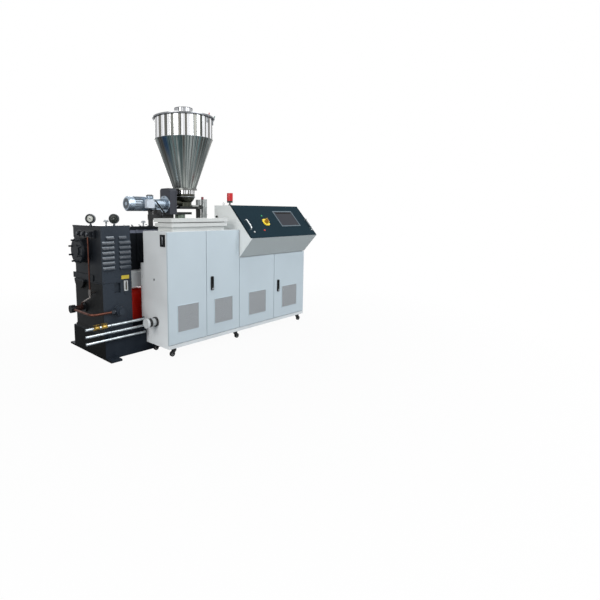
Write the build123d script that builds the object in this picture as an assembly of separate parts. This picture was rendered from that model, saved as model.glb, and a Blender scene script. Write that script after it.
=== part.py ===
from build123d import *
import math
import os

# Plastic extruder: gearbox, barrel, feeder with hopper, and control cabinet on one base.
# Millimetres. Origin on the floor under the feed axis; +X towards the die, +Z up,
# and -Y is the operator's side, where the cabinet doors are.

# Fits and running gaps
seat_gap = 0.3
door_gap = 6.0
lid_gap = 1.0
pin_clearance = 0.3
wheel_side_gap = 1.5
cut_over = 1.0

# Base frame, welded, with four anchor feet
base_length = 2600.0
base_width = 710.0
base_top = 249.0
base_edge = 8.0
foot_length = 120.0
foot_reach = 112.0
foot_thick = 20.0
anchor_inset = 58.0
anchor_reach = 62.0
anchor_hole_r = 11.0
bracket_length = 80.0
bracket_depth = 52.0
bracket_set_back = 10.0
bracket_inset_left = 120.0
bracket_inset_right = 170.0

# Screw axis above the base
screw_rise = 841.0

# Gearbox castings
gearbox_inset = 4.0
gearbox_length = 328.0
gearbox_front_inset = 17.0
gearbox_back_inset = 70.0
gearbox_above_screw = 255.0
split_below_screw = 277.0
waist_step = 35.0
head_height = 147.0
head_set_back = 10.0
split_flange_thick = 30.0
split_flange_reach = 11.0
sole_thick = 30.0
sole_reach = 4.0
roof_thick = 16.0
roof_reach = 4.0
casting_bevel = 10.0
boss_r = 108.0
boss_reach = 34.0
boss_from_screw = 118.0
boss_drop = 22.0
recess_width = 70.0
recess_height = 98.0
recess_depth = 24.0
recess_left = 125.0
recess_drop = 6.0
sight_width = 37.0
sight_height = 112.0
sight_depth = 9.0
sight_right = 56.0
sight_drop = 14.0
gland_from_right = 172.0
gland_flange_r = 58.0
gland_flange_thick = 14.0
gland_hub_r = 45.0
gland_hub_reach = 70.0
gland_cap_r = 31.0
gland_cap_reach = 88.0
gland_boss_half = 14.0
gland_boss_reach = 52.0

# Louvred guard on the front of the gearbox
guard_depth = 180.0
guard_below_split = 38.0
guard_wall = 4.0
guard_joint = 3.0
guard_bevel = 12.0
louvre_rows = 6
louvre_width = 127.0
louvre_short_width = 82.0
louvre_side_inset = 9.0
louvre_top_margin = 105.0
louvre_low_margin = 165.0
louvre_reach = 16.0
louvre_slope_part = 0.48
louvre_height_part = 0.68
louvre_skin = 2.5

# Round end cover on the screw axis
end_cover_r = 131.0
end_cover_reach = 97.0
end_cover_rim_thick = 24.0
end_cover_step = 9.0
end_cover_hub_r = 62.0
end_cover_hub_reach = 12.0
end_cover_bolt_count = 8
end_cover_bolt_inset = 16.0
end_cover_bolt_r = 9.0
end_cover_bolt_reach = 32.0

# Distribution box between gearbox and barrel
box_half_width = 180.0
box_below_screw = 225.0
box_drop = 16.0
box_from_feed = 420.0
box_lid_thick = 36.0
box_lid_reach = 8.0
box_rib_thick = 16.0
box_rib_reach = 7.0
box_rib_count = 5

# Drive on the base: motor, coupling guard and oil cooler
motor_r = 195.0
motor_rise = 236.0
motor_from_gearbox = 328.0
motor_length = 700.0
motor_cowl_length = 130.0
motor_shield_length = 40.0
motor_fin_height = 22.0
motor_fin_thick = 7.0
motor_fin_count = 24
motor_foot_width = 400.0
motor_foot_thick = 24.0
motor_foot_inset = 90.0
motor_saddle_width = 280.0
motor_saddle_sink = 78.0
motor_box_length = 190.0
motor_box_width = 170.0
motor_box_height = 60.0
coupling_half_width = 188.0
coupling_plinth_height = 66.0
coupling_plinth_reach = 10.0
coupling_rise = 401.0
coupling_round = 60.0
coupling_gap = 20.0
coupling_slot_count = 4
coupling_slot_length = 90.0
coupling_slot_height = 9.0
coupling_slot_pitch = 30.0
coupling_slot_depth = 4.0
cooler_length = 236.0
cooler_width = 190.0
cooler_low_gap = 26.0
cooler_bevel = 28.0

# Barrel and its cover
barrel_r = 105.0
barrel_flange_r = 150.0
barrel_flange_thick = 35.0
die_overhang = 100.0
die_flange_r = 120.0
die_flange_thick = 60.0
die_bolt_pcd = 190.0
die_bolt_count = 8
die_bolt_r = 7.0
die_bolt_depth = 32.0
barrel_bore_r = 46.0
barrel_bore_depth = 200.0
cover_left_gap = 40.0
cover_right_gap = 80.0
cover_half_width = 215.0
cover_below_screw = 165.0
cover_above_screw = 170.0
cover_wall = 5.0
cover_seam_count = 3
cover_seam_width = 4.0
cover_seam_depth = 2.5
stand_inset = 120.0
stand_length = 90.0
stand_width = 300.0
stand_plate_thick = 18.0
stand_plate_reach = 35.0

# Control cabinet: a tall bay with two doors and a low bay with two doors
cabinet_from_base_left = 476.0
tall_door_pitch = 502.0
low_door_pitch = 625.0
cabinet_bottom = 98.0
door_bottom = 140.0
tall_top = 1283.0
low_top = 968.0
tall_depth = 428.0
panel = 20.0
door_thick = 20.0
door_skin = 3.0
step_low = 320.0
step_high = 945.0
base_clearance = 7.0
step_overhang = 82.0
tall_overhang = 20.0

# Vents and handles in the doors
vent_tall_width = 287.0
vent_low_width = 318.0
vent_height = 286.0
vent_centre_height = 395.0
vent_frame = 7.0
vent_proud = 4.0
vent_sunk = 2.5
handle_length = 152.0
handle_width = 34.0
handle_depth = 14.0
handle_round = 9.0
handle_dish_length = 84.0
handle_dish_depth = 8.0
handle_rim = 6.0
handle_inset = 77.0
tall_handle_height = 714.0
low_handle_height = 553.0

# Stepped roof vent on the tall bay
vent_roof_inset_left = 78.0
vent_roof_inset_right = 140.0
vent_roof_front = 30.0
vent_roof_back = 70.0
vent_body_height = 46.0
vent_slab = 38.0
vent_slab_step = 8.0
vent_slab_round = 20.0
vent_neck = 10.0
vent_body_inset = 38.0

# Sloping console on the low bay
console_side_gap = 4.0
console_top = 1562.0
console_nose_height = 1192.0
console_nose_reach = 199.0
console_slope_rise_depth = 335.0
lid_depth = 27.0
lid_skin = 3.0
lid_rim = 24.0
screen_left = 649.0
screen_low = 153.0
screen_width = 380.0
screen_height = 254.0
screen_thick = 6.0
screen_frame = 15.0
screen_sunk = 2.0
switch_from_left = 399.0
switch_up_slope = 226.0
switch_plate = 100.0
switch_plate_round = 36.0
switch_plate_thick = 8.0
switch_knob_r = 24.0
switch_knob_height = 26.0
switch_grip_length = 58.0
switch_grip_width = 14.0
switch_grip_rise = 12.0
lamp_r = 11.0
lamp_height = 7.0
lamp_above_switch = 103.0
lamp_above_shift = 5.0
lamp_below_switch = 120.0
lamp_below_shift = 116.0
grip_inset = 46.0
grip_low = 116.0
grip_length = 136.0
grip_r = 7.0
grip_height = 38.0
grip_bend = 18.0
lock_left = 88.0
lock_right = 1200.0
lock_below_grip = 34.0
lock_r = 11.0
lock_height = 12.0

# Beacon on the console
beacon_r = 36.0
beacon_base_r = 34.0
beacon_stem_r = 9.0
beacon_stem_height = 30.0
beacon_foot_r = 22.0
beacon_foot_height = 6.0
beacon_base_height = 22.0
beacon_lens_height = 90.0
beacon_from_left = 60.0
beacon_back = 60.0

# Feeder under the hopper
lower_plate_rise = 195.0
frame_plate_thick = 29.0
feeder_above_plate = 97.0
neck_r = 126.0
neck_height = 58.0
feeder_height = 206.0
bulge_top_r = 125.0
bulge_mid_r = 110.0
bulge_mid_rise = 80.0
bulge_low_r = 84.0
bulge_low_rise = 50.0
bulge_land = 36.0
cavity_floor = 12.0
cavity_land = 14.0
feeder_wall = 6.0
screw_tube_r = 42.0
screw_tube_rise = 46.0
frame_left = -150.0
frame_wide_right = 128.0
frame_half_width = 105.0
frame_end_r = 40.0
lower_plate_right = 42.0
lower_plate_half_width = 84.0
gate_rail_left = 90.0
gate_rail_half_width = 38.0
gate_rail_thick = 19.0
post_x = 215.0
post_width = 42.0
post_above_feeder = 88.0
stub_x = -76.0
stub_r = 63.0
stub_wall = 5.0
stub_flange_r = 84.0
stub_flange_thick = 12.0

# Hopper, a spun shell with a flat lid
hopper_r = 349.0
hopper_rim_r = 366.0
hopper_rim_thick = 15.0
hopper_cone_height = 587.0
hopper_drum_height = 255.0
hopper_outlet_r = 141.0
hopper_wall = 3.0
hopper_flange_r = 154.0
hopper_flange_thick = 8.0
lid_thick = 4.0
collar_r = 113.0
collar_height = 112.0
collar_wall = 3.0

# Feeder drive: chain guard, reducer, motor and its post
chain_guard_left = -294.0
chain_guard_right = -193.0
chain_guard_half_width = 97.0
chain_guard_over = 3.0
chain_guard_round = 34.0
chain_guard_seam = 16.0
drive_above_feeder = 22.0
reducer_flange_r = 100.0
reducer_flange_thick = 14.0
reducer_r = 62.0
reducer_length = 186.0
reducer_ring_r = 86.0
reducer_ring_thick = 26.0
drive_motor_r = 82.0
drive_neck_length = 40.0
drive_neck_r = 66.0
drive_shield_length = 24.0
drive_body_r = 70.0
drive_body_length = 158.0
drive_fin_thick = 5.0
drive_fin_count = 18
drive_cowl_length = 70.0
drive_cowl_bevel = 14.0
drive_post_x = -500.0
drive_post_width = 40.0
drive_beam_height = 60.0
drive_beam_half_width = 30.0
drive_saddle_x = -412.0
drive_saddle_thick = 58.0
drive_saddle_half_width = 36.0
drive_box_x = -576.0
drive_box_width = 100.0
drive_box_height = 95.0
drive_box_reach = 46.0
drive_cap_x = -505.0
drive_cap_r = 42.0
drive_cap_rise = 106.0
drive_cap_edge = 10.0

# Vacuum pot beside the feeder
pot_x = 309.0
pot_r = 43.0
pot_above_feeder = 94.0
pot_band_count = 5
pot_band_depth = 3.0
pot_band_width = 8.0
pot_cap_r = 16.0
pot_cap_height = 30.0
pot_cap_set_left = 24.0

# Gauges and breathers
gauge_r = 49.0
gauge_rim = 5.0
gauge_thick = 34.0
gauge_sunk = 5.0
gauge_rise = 67.0
gauge_stem_r = 8.0
gauge_nut_r = 15.0
gauge_nut_height = 10.0
gauge_turn = 45.0
gauge_one_x = 36.0
gauge_one_y = -62.0
gauge_two_x = 161.0
gauge_two_set_back = 25.0
breather_r = 26.0
breather_height = 56.0
breather_stem_r = 9.0
breather_cap_height = 22.0
breather_brim = 10.0
breather_crown_r = 15.0
breather_one_x = 145.0
breather_one_set_in = 22.0
breather_two_x = -618.0
breather_two_y = -30.0

# Oil circuit on the gearbox
manifold_width = 353.0
manifold_height = 78.0
manifold_depth = 24.0
manifold_above_cover = 2.0
manifold_middle = -64.0
oil_valve_width = 62.0
oil_valve_height = 54.0
oil_valve_reach = 34.0
oil_valve_cap_r = 17.0
oil_valve_cap_reach = 14.0
oil_valve_count = 3
oil_valve_pitch = 108.0
pump_y = 60.0
pump_rise = 237.0
pump_flange_r = 50.0
pump_flange_thick = 16.0
pump_r = 28.0
pump_boss_half = 14.0
pump_boss_rise = 32.0
pump_boss_reach = 62.0
pump_length = 165.0
pump_end_r = 41.0
pump_end_length = 48.0
oil_pipe_r = 8.0
front_pipe_r = 13.0
upright_reach = 49.0
upright_y = -160.0
upright_foot_rise = 391.0
fitting_r = 17.0
fitting_height = 66.0
cross_pipe_y = 36.0
cross_pipe_drop = 18.0
cross_pipe_bend = 16.0
front_pipe_reach = 141.0
front_pipe_out = 32.0
front_pipe_bend = 62.0
fitting_arm_r = 10.0

# Cooling water pipes in front of the base
water_pipe_r = 13.5
water_pipe_bore_r = 10.5
pipe_thread_r = 13.2
pipe_thread_length = 30.0
water_pipe_overhang = 222.0
water_pipe_end_gap = 48.0
water_pipe_reach = 51.0
water_pipe_drop = 23.0
water_pipe_pitch = 70.0
pipe_clamp_width = 16.0
pipe_clamp_rim = 22.0
pipe_clamp_inset = 30.0
valve_from_base = 113.0
valve_pitch = 81.0
valve_r = 19.0
valve_length = 58.0
valve_collar_r = 22.0
valve_collar_length = 14.0
valve_stem_r = 7.0
valve_stem_height = 12.0
lever_length = 62.0
lever_width = 16.0
lever_waist = 8.0
lever_thick = 3.0

# Round coupler on the cabinet's left side
coupler_depth = 223.0
coupler_height = 352.0
coupler_r = 50.0
coupler_root_r = 50.0
coupler_root_length = 21.0
coupler_ring_r = 40.0
coupler_ring_length = 45.0
coupler_seal_r = 46.0
coupler_seal_length = 35.0
coupler_cap_length = 25.0

# Castors under the cabinet
castor_wheel_r = 28.0
castor_wheel_width = 22.0
castor_trail = 22.0
castor_plate = 62.0
castor_plate_thick = 5.0
castor_bearing_r = 20.0
castor_bearing_thick = 8.0
castor_cheek = 3.0
castor_cheek_half = 12.0
castor_cheek_drop = 10.0
castor_crown_gap = 5.0
castor_axle_r = 4.0
castor_hub_r = 12.0
castor_hub_sunk = 3.0
castor_front_inset = 58.0
castor_back_inset = 58.0
castor_left_inset = 99.0
castor_right_inset = 54.0
castor_middle_shift = -10.0

# Places that follow from the sizes above
base_half = base_width / 2
base_left = -base_length / 2
base_right = base_length / 2
screw_height = base_top + screw_rise
gearbox_left = base_left + gearbox_inset
gearbox_right = gearbox_left + gearbox_length
gearbox_top = screw_height + gearbox_above_screw
gearbox_split = screw_height - split_below_screw
gearbox_lower_back = base_half - gearbox_back_inset
gearbox_back = gearbox_lower_back - waist_step
guard_face = -base_half + gearbox_front_inset
guard_back = guard_face + guard_depth
guard_bottom = gearbox_split - guard_below_split
box_right = -box_from_feed
box_top = gearbox_top - box_drop
box_bottom = screw_height - box_below_screw
motor_left = gearbox_right + motor_from_gearbox
motor_axis_height = base_top + motor_rise
coupling_top = base_top + coupling_rise
coupling_low = base_top + coupling_plinth_height
coupling_right = motor_left - coupling_gap
cover_left = box_right + cover_left_gap
die_face = base_right + die_overhang
cover_right = die_face - cover_right_gap
cover_bottom = screw_height - cover_below_screw
cover_top = screw_height + cover_above_screw
stand_x = base_right - stand_inset
cabinet_left = base_left + cabinet_from_base_left
cabinet_foot_back = -base_half - base_clearance
cabinet_step_back = cabinet_foot_back + step_overhang
cabinet_tall_back = cabinet_foot_back + tall_overhang
cabinet_front = cabinet_tall_back - tall_depth
carcass_front = cabinet_front + door_thick
cabinet_middle = cabinet_left + 2 * tall_door_pitch
cabinet_right = cabinet_middle + 2 * low_door_pitch
console_left = cabinet_middle + console_side_gap
console_nose = cabinet_front - console_nose_reach
console_ridge = console_nose + console_slope_rise_depth
slope_rise = console_top - console_nose_height
slope_angle = math.degrees(math.atan2(slope_rise, console_slope_rise_depth))
slope_length = math.hypot(slope_rise, console_slope_rise_depth)
lower_plate_bottom = cover_top + lower_plate_rise
feeder_bottom = lower_plate_bottom + feeder_above_plate
hopper_outlet = feeder_bottom + feeder_height
hopper_shoulder = hopper_outlet + hopper_cone_height
hopper_top = hopper_shoulder + hopper_drum_height
drive_height = feeder_bottom + drive_above_feeder
post_top = feeder_bottom + post_above_feeder
pot_top = feeder_bottom + pot_above_feeder
gauge_height = gearbox_top + gauge_rise
manifold_low = screw_height + end_cover_r + manifold_above_cover
pump_height = base_top + pump_rise
pump_left = gearbox_left - pump_length
upright_x = gearbox_left - upright_reach
upright_foot = base_top + upright_foot_rise
front_pipe_x = gearbox_left - front_pipe_reach
front_pipe_y = guard_face - front_pipe_out
gland_x = gearbox_right - gland_from_right
water_pipe_left = base_left - water_pipe_overhang
water_pipe_right = cabinet_left - water_pipe_end_gap
water_pipe_y = -base_half - water_pipe_reach
water_pipe_low = base_top - water_pipe_drop
valve_first = base_left - valve_from_base


def block(x0, x1, y0, y1, z0, z1):
    """A box given by its two corners."""
    centre = Pos((x0 + x1) / 2, (y0 + y1) / 2, (z0 + z1) / 2)
    return centre * Box(x1 - x0, y1 - y0, z1 - z0)


def rod_x(radius, x0, x1, y, z):
    """A round bar along X."""
    return Pos((x0 + x1) / 2, y, z) * Rot(0, 90, 0) * Cylinder(radius, x1 - x0)


def rod_y(radius, y0, y1, x, z):
    """A round bar along Y."""
    return Pos(x, (y0 + y1) / 2, z) * Rot(90, 0, 0) * Cylinder(radius, y1 - y0)


def rod_z(radius, z0, z1, x, y):
    """A round bar along Z."""
    return Pos(x, y, (z0 + z1) / 2) * Cylinder(radius, z1 - z0)


def side_profile(points, x0, x1):
    """A closed outline of (y, z) points, run from x0 to x1."""
    outline = Plane.YZ.offset(x0) * Polyline(*points, close=True)
    return extrude(make_face(outline), amount=x1 - x0, dir=(1, 0, 0))


def turned(points, x=0.0, y=0.0):
    """A closed outline of (radius, z) points, turned about a vertical axis."""
    outline = Plane.XZ * Polyline(*points, close=True)
    return Pos(x, y, 0) * revolve(make_face(outline), Axis.Z, 360)


def turned_steps(steps, x_end, y, z):
    """Discs of (length, radius), one against the next, laid from x_end towards -X."""
    points = [(x_end, 0)]
    x = x_end
    for length, radius in steps:
        points.append((x, radius))
        x -= length
        points.append((x, radius))
    points.append((x, 0))
    outline = make_face(Polyline(*points, close=True))
    return Pos(0, y, z) * revolve(outline, Axis.X, 360)


def round_pipe(radius, bend, corners):
    """A round pipe along straight runs with bends between them."""
    path = FilletPolyline(*corners, radius=bend)
    start = Plane(origin=path @ 0, z_dir=path % 0)
    return sweep(start * Circle(radius), path=path)


def upright_edges(shape, radius):
    """The shape with its upright edges rounded."""
    return fillet(shape.edges().filter_by(Axis.Z), radius)


# Base frame

def make_base_frame():
    body = block(base_left, base_right, -base_half, base_half, 0, base_top)
    body = chamfer(body.edges().group_by(Axis.Z)[-1], base_edge)
    for end in (-1, 1):
        for side in (-1, 1):
            x = end * (base_right - foot_length / 2)
            y = side * (base_half + foot_reach / 2)
            foot = Pos(x, y, foot_thick / 2) * Box(foot_length, foot_reach, foot_thick)
            hole_x = end * (base_right - anchor_inset)
            hole_y = side * (base_half + anchor_reach)
            body += foot - rod_z(anchor_hole_r, 0, foot_thick, hole_x, hole_y)
    half = bracket_length / 2
    front = -base_half + bracket_set_back
    for x in bracket_places():
        body += block(x - half, x + half, front, front + bracket_depth, base_top, step_low)
    for x in clamp_places():
        body += make_pipe_clamp(x)
    half = coupling_half_width + coupling_plinth_reach
    return body + block(gearbox_right, coupling_right, -half, half, base_top, coupling_low)


def make_pipe_clamp(x):
    """An upright strip on the base's front with half-round seats for the three water pipes."""
    right = x + pipe_clamp_width
    low = water_pipe_low - pipe_clamp_rim
    top = water_pipe_low + 2 * water_pipe_pitch + pipe_clamp_rim
    clamp = block(x, right, water_pipe_y, water_pipe_y + pipe_clamp_rim, low, top)
    clamp += block(x, right, water_pipe_y, -base_half, low, base_top - base_edge)
    for row in range(3):
        z = water_pipe_low + row * water_pipe_pitch
        clamp -= rod_x(water_pipe_r + seat_gap, x, right, water_pipe_y, z)
    return clamp


def bracket_places():
    """Where the base carries the cabinet's stepped back."""
    return [cabinet_left + bracket_inset_left, cabinet_middle, base_right - bracket_inset_right]


def clamp_places():
    """Where clamps hold the water pipes to the base."""
    return [base_left + pipe_clamp_inset, water_pipe_right - pipe_clamp_width]


# Gearbox

def make_gearbox_lower():
    """The lower casting: a full-width foot under the guard, a split flange and a bearing boss behind it."""
    low_front = guard_bottom - guard_joint
    outline = [
        (guard_face, base_top),
        (gearbox_lower_back, base_top),
        (gearbox_lower_back, gearbox_split),
        (guard_back, gearbox_split),
        (guard_back, low_front),
        (guard_face, low_front),
    ]
    body = side_profile(outline, gearbox_left, gearbox_right)
    front_edges = body.edges().filter_by(Axis.Z).group_by(Axis.Y)[0]
    back_edges = body.edges().filter_by(Axis.Z).group_by(Axis.Y)[-1]
    body = chamfer(front_edges + back_edges, casting_bevel)
    sole_left = gearbox_left - sole_reach
    sole_front = guard_face - sole_reach
    sole_back = gearbox_lower_back + sole_reach
    body += block(sole_left, gearbox_right, sole_front, sole_back, base_top, base_top + sole_thick)
    flange_low = gearbox_split - split_flange_thick
    flange_left = gearbox_left - split_flange_reach
    flange_back = gearbox_lower_back + split_flange_reach
    body += block(flange_left, gearbox_right, guard_back, flange_back, flange_low, gearbox_split)
    boss_z = gearbox_split - boss_drop
    boss = rod_x(boss_r, gearbox_left - boss_reach, gearbox_left, boss_from_screw, boss_z)
    under = block(gearbox_left - 2 * boss_reach, gearbox_right, guard_back, flange_back, base_top, flange_low)
    body += boss & under
    recess_x = gearbox_left + recess_left
    recess_top = low_front - recess_drop
    body -= block(
        recess_x,
        recess_x + recess_width,
        guard_face,
        guard_face + recess_depth,
        recess_top - recess_height,
        recess_top,
    )
    sight_x = gearbox_right - sight_right
    sight_top = low_front - sight_drop
    body += block(
        sight_x - sight_width,
        sight_x,
        guard_face - sight_depth,
        guard_face,
        sight_top - sight_height,
        sight_top,
    )
    body += rod_y(gland_flange_r, guard_face - gland_flange_thick, guard_face, gland_x, pump_height)
    body += rod_y(gland_hub_r, guard_face - gland_hub_reach, guard_face, gland_x, pump_height)
    body += rod_y(gland_cap_r, guard_face - gland_cap_reach, guard_face, gland_x, pump_height)
    return body + block(
        gland_x - gland_boss_reach,
        gland_x,
        front_pipe_y - gland_boss_half,
        front_pipe_y + gland_boss_half,
        pump_height - gland_boss_half,
        pump_height + gland_boss_half,
    )


def make_gearbox_upper():
    """The upper casting, with a split flange, a wider head at the back and a roof plate."""
    head_back = gearbox_lower_back - head_set_back
    head_low = gearbox_top - head_height
    outline = [
        (guard_back, gearbox_split),
        (gearbox_back, gearbox_split),
        (gearbox_back, head_low),
        (head_back, head_low + head_back - gearbox_back),
        (head_back, gearbox_top),
        (guard_back, gearbox_top),
    ]
    body = side_profile(outline, gearbox_left, gearbox_right)
    flange_left = gearbox_left - split_flange_reach
    flange_back = gearbox_lower_back + split_flange_reach
    flange_top = gearbox_split + split_flange_thick
    body += block(flange_left, gearbox_right, guard_back, flange_back, gearbox_split, flange_top)
    roof_left = gearbox_left - roof_reach
    roof_back = head_back + roof_reach
    roof_low = gearbox_top - roof_thick
    return body + block(roof_left, gearbox_right, guard_back, roof_back, roof_low, gearbox_top)


def louvre_places():
    """Each louvre's left and right edge and the height of its top, row by row from the lowest."""
    span = gearbox_top - louvre_top_margin - guard_bottom - louvre_low_margin
    pitch = span / louvre_rows
    left = gearbox_left + louvre_side_inset
    right = gearbox_right - louvre_side_inset
    places = []
    for row in range(louvre_rows + 1):
        top = guard_bottom + louvre_low_margin + row * pitch
        width = louvre_short_width if row == louvre_rows else louvre_width
        left_end = left + louvre_width
        right_start = right - louvre_width
        places.append((left_end - width, left_end, top, pitch))
        places.append((right_start, right_start + width, top, pitch))
    return places


def louvre_hood(x0, x1, top, pitch, shrink):
    """The wedge of one pressed louvre, smaller all round by shrink, from behind the sheet outwards."""
    slope = pitch * louvre_slope_part
    height = pitch * louvre_height_part
    reach = louvre_reach - shrink
    drop = shrink * math.hypot(slope, louvre_reach) / louvre_reach
    low = top - height - (cut_over if shrink else 0)
    behind = guard_face + guard_wall + (cut_over if shrink else 0)
    outline = [
        (behind, top - drop),
        (guard_face, top - drop),
        (guard_face - reach, top - drop - slope * reach / louvre_reach),
        (guard_face - reach, low),
        (behind, low),
    ]
    return side_profile(outline, x0 + shrink, x1 - shrink)


def make_gearbox_guard():
    """A sheet hood over the casting's front: each louvre is pressed out of the face and open below."""
    outer = block(gearbox_left, gearbox_right, guard_face, guard_back, guard_bottom, gearbox_top)
    outer = chamfer(outer.edges().filter_by(Axis.Z).group_by(Axis.Y)[0], guard_bevel)
    inner = block(
        gearbox_left + guard_wall,
        gearbox_right - guard_wall,
        guard_face + guard_wall,
        guard_back,
        guard_bottom + guard_wall,
        gearbox_top - guard_wall,
    )
    inner = chamfer(inner.edges().filter_by(Axis.Z).group_by(Axis.Y)[0], guard_bevel - guard_wall / 2)
    guard = outer - inner
    for x0, x1, top, pitch in louvre_places():
        guard += louvre_hood(x0, x1, top, pitch, 0)
    for x0, x1, top, pitch in louvre_places():
        guard -= louvre_hood(x0, x1, top, pitch, louvre_skin)
    return guard


def make_end_cover():
    """The bearing cover on the screw axis: two rims with a groove between them, a hub and a ring of bolts."""
    groove = end_cover_reach - 2 * end_cover_rim_thick
    body = turned_steps(
        [
            (end_cover_rim_thick, end_cover_r),
            (groove, end_cover_r - end_cover_step),
            (end_cover_rim_thick, end_cover_r),
            (end_cover_hub_reach, end_cover_hub_r),
        ],
        gearbox_left,
        0,
        screw_height,
    )
    face = gearbox_left - end_cover_reach
    ring = end_cover_r - end_cover_bolt_inset
    for turn in range(end_cover_bolt_count):
        angle = math.radians(360 / end_cover_bolt_count * (turn + 0.5))
        y = ring * math.cos(angle)
        z = screw_height + ring * math.sin(angle)
        body += rod_x(end_cover_bolt_r, face - end_cover_bolt_reach, face, y, z)
    return body


def make_distribution_box():
    lid_low = box_top - box_lid_thick
    body = block(gearbox_right, box_right, -box_half_width, box_half_width, box_bottom, lid_low)
    reach = box_half_width + box_lid_reach
    body += block(gearbox_right, box_right, -reach, reach, lid_low, box_top)
    rib_half = box_half_width + box_rib_reach
    span = box_right - gearbox_right - box_rib_thick
    for rib in range(box_rib_count):
        x = gearbox_right + span * (rib + 0.5) / box_rib_count
        body += block(x, x + box_rib_thick, -rib_half, rib_half, box_bottom, lid_low)
    return body


# Drive on the base

def cooling_fins(count, thick, inner, outer, x0, x1, y, z):
    """Straight fins set round a motor's body, along it."""
    fins = []
    for turn in range(count):
        fin = block(x0, x1, -thick / 2, thick / 2, inner, outer)
        fins.append(Pos(0, y, z) * Rot(360 / count * (turn + 0.5), 0, 0) * fin)
    return fins


def make_main_motor():
    right = motor_left + motor_length
    body_length = motor_length - motor_shield_length - motor_cowl_length
    body_r = motor_r - motor_fin_height
    body = turned_steps(
        [(motor_cowl_length, motor_r), (body_length, body_r), (motor_shield_length, motor_r)],
        right,
        0,
        motor_axis_height,
    )
    fin_left = motor_left + motor_shield_length
    fin_right = fin_left + body_length
    fin_low = body_r - motor_fin_thick
    for fin in cooling_fins(
        motor_fin_count, motor_fin_thick, fin_low, motor_r, fin_left, fin_right, 0, motor_axis_height
    ):
        body += fin
    half = motor_foot_width / 2
    left = motor_left + motor_foot_inset
    end = right - motor_foot_inset
    body += block(left, end, -half, half, base_top, base_top + motor_foot_thick)
    half = motor_saddle_width / 2
    saddle_top = motor_axis_height - motor_r + motor_saddle_sink
    body += block(left, end, -half, half, base_top, saddle_top)
    middle = (motor_left + right) / 2
    box_half = motor_box_length / 2
    width_half = motor_box_width / 2
    box_high = motor_axis_height + motor_r + motor_box_height
    return body + block(
        middle - box_half, middle + box_half, -width_half, width_half, motor_axis_height, box_high
    )


def make_coupling_guard():
    half = coupling_half_width
    body = block(gearbox_right, coupling_right, -half, half, coupling_low, coupling_top)
    body = fillet(body.edges().filter_by(Axis.X).group_by(Axis.Z)[-1], coupling_round)
    middle = (gearbox_right + coupling_right) / 2
    slot_half = coupling_slot_length / 2
    cut = half - coupling_slot_depth
    for row in range(coupling_slot_count):
        z = (coupling_low + coupling_top) / 2 + (row - coupling_slot_count / 2) * coupling_slot_pitch
        top = z + coupling_slot_height
        body -= block(middle - slot_half, middle + slot_half, -half, -cut, z, top)
        body -= block(middle - slot_half, middle + slot_half, cut, half, z, top)
    return body


def make_oil_cooler():
    low = coupling_top + cooler_low_gap
    body = block(gearbox_right, gearbox_right + cooler_length, -cooler_width, 0, low, box_bottom)
    return chamfer(body.edges().group_by(Axis.Z)[-1], cooler_bevel)


# Barrel

def make_barrel():
    body = rod_x(barrel_flange_r, box_right, box_right + barrel_flange_thick, 0, screw_height)
    body += rod_x(barrel_r, box_right, die_face, 0, screw_height)
    body += rod_x(die_flange_r, die_face - die_flange_thick, die_face, 0, screw_height)
    body -= rod_x(barrel_bore_r, die_face - barrel_bore_depth, die_face, 0, screw_height)
    for turn in range(die_bolt_count):
        angle = math.radians(360 / die_bolt_count * (turn + 0.5))
        y = die_bolt_pcd / 2 * math.cos(angle)
        z = screw_height + die_bolt_pcd / 2 * math.sin(angle)
        body -= rod_x(die_bolt_r, die_face - die_bolt_depth, die_face, y, z)
    return body


def make_barrel_stand():
    half = stand_length / 2
    side = stand_width / 2
    body = block(stand_x - half, stand_x + half, -side, side, base_top, cover_bottom)
    wide = half + stand_plate_reach
    foot_top = base_top + stand_plate_thick
    head_low = cover_bottom - stand_plate_thick
    body += block(stand_x - wide, stand_x + wide, -side, side, base_top, foot_top)
    return body + block(stand_x - wide, stand_x + wide, -side, side, head_low, cover_bottom)


def make_barrel_cover():
    half = cover_half_width
    body = block(cover_left, cover_right, -half, half, cover_bottom, cover_top)
    body -= block(
        cover_left + cover_wall,
        cover_right - cover_wall,
        -half + cover_wall,
        half - cover_wall,
        cover_bottom + cover_wall,
        cover_top - cover_wall,
    )
    for seam in range(cover_seam_count):
        x = cover_left + (cover_right - cover_left) * (seam + 1) / (cover_seam_count + 1)
        right = x + cover_seam_width
        deep = half - cover_seam_depth
        over = half + cut_over
        low = cover_bottom - cut_over
        top = cover_top + cut_over
        ring = block(x, right, -over, over, low, top)
        ring -= block(x, right, -deep, deep, cover_bottom + cover_seam_depth, cover_top - cover_seam_depth)
        body -= ring
    return body - rod_x(barrel_r + seat_gap, cover_left - cut_over, cover_right + cut_over, 0, screw_height)


# Feeder and hopper

def make_feed_stub():
    body = rod_z(stub_r, cover_top, lower_plate_bottom, stub_x, 0)
    body += rod_z(stub_flange_r, cover_top, cover_top + stub_flange_thick, stub_x, 0)
    return body - rod_z(stub_r - stub_wall, cover_top, lower_plate_bottom, stub_x, 0)


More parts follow.
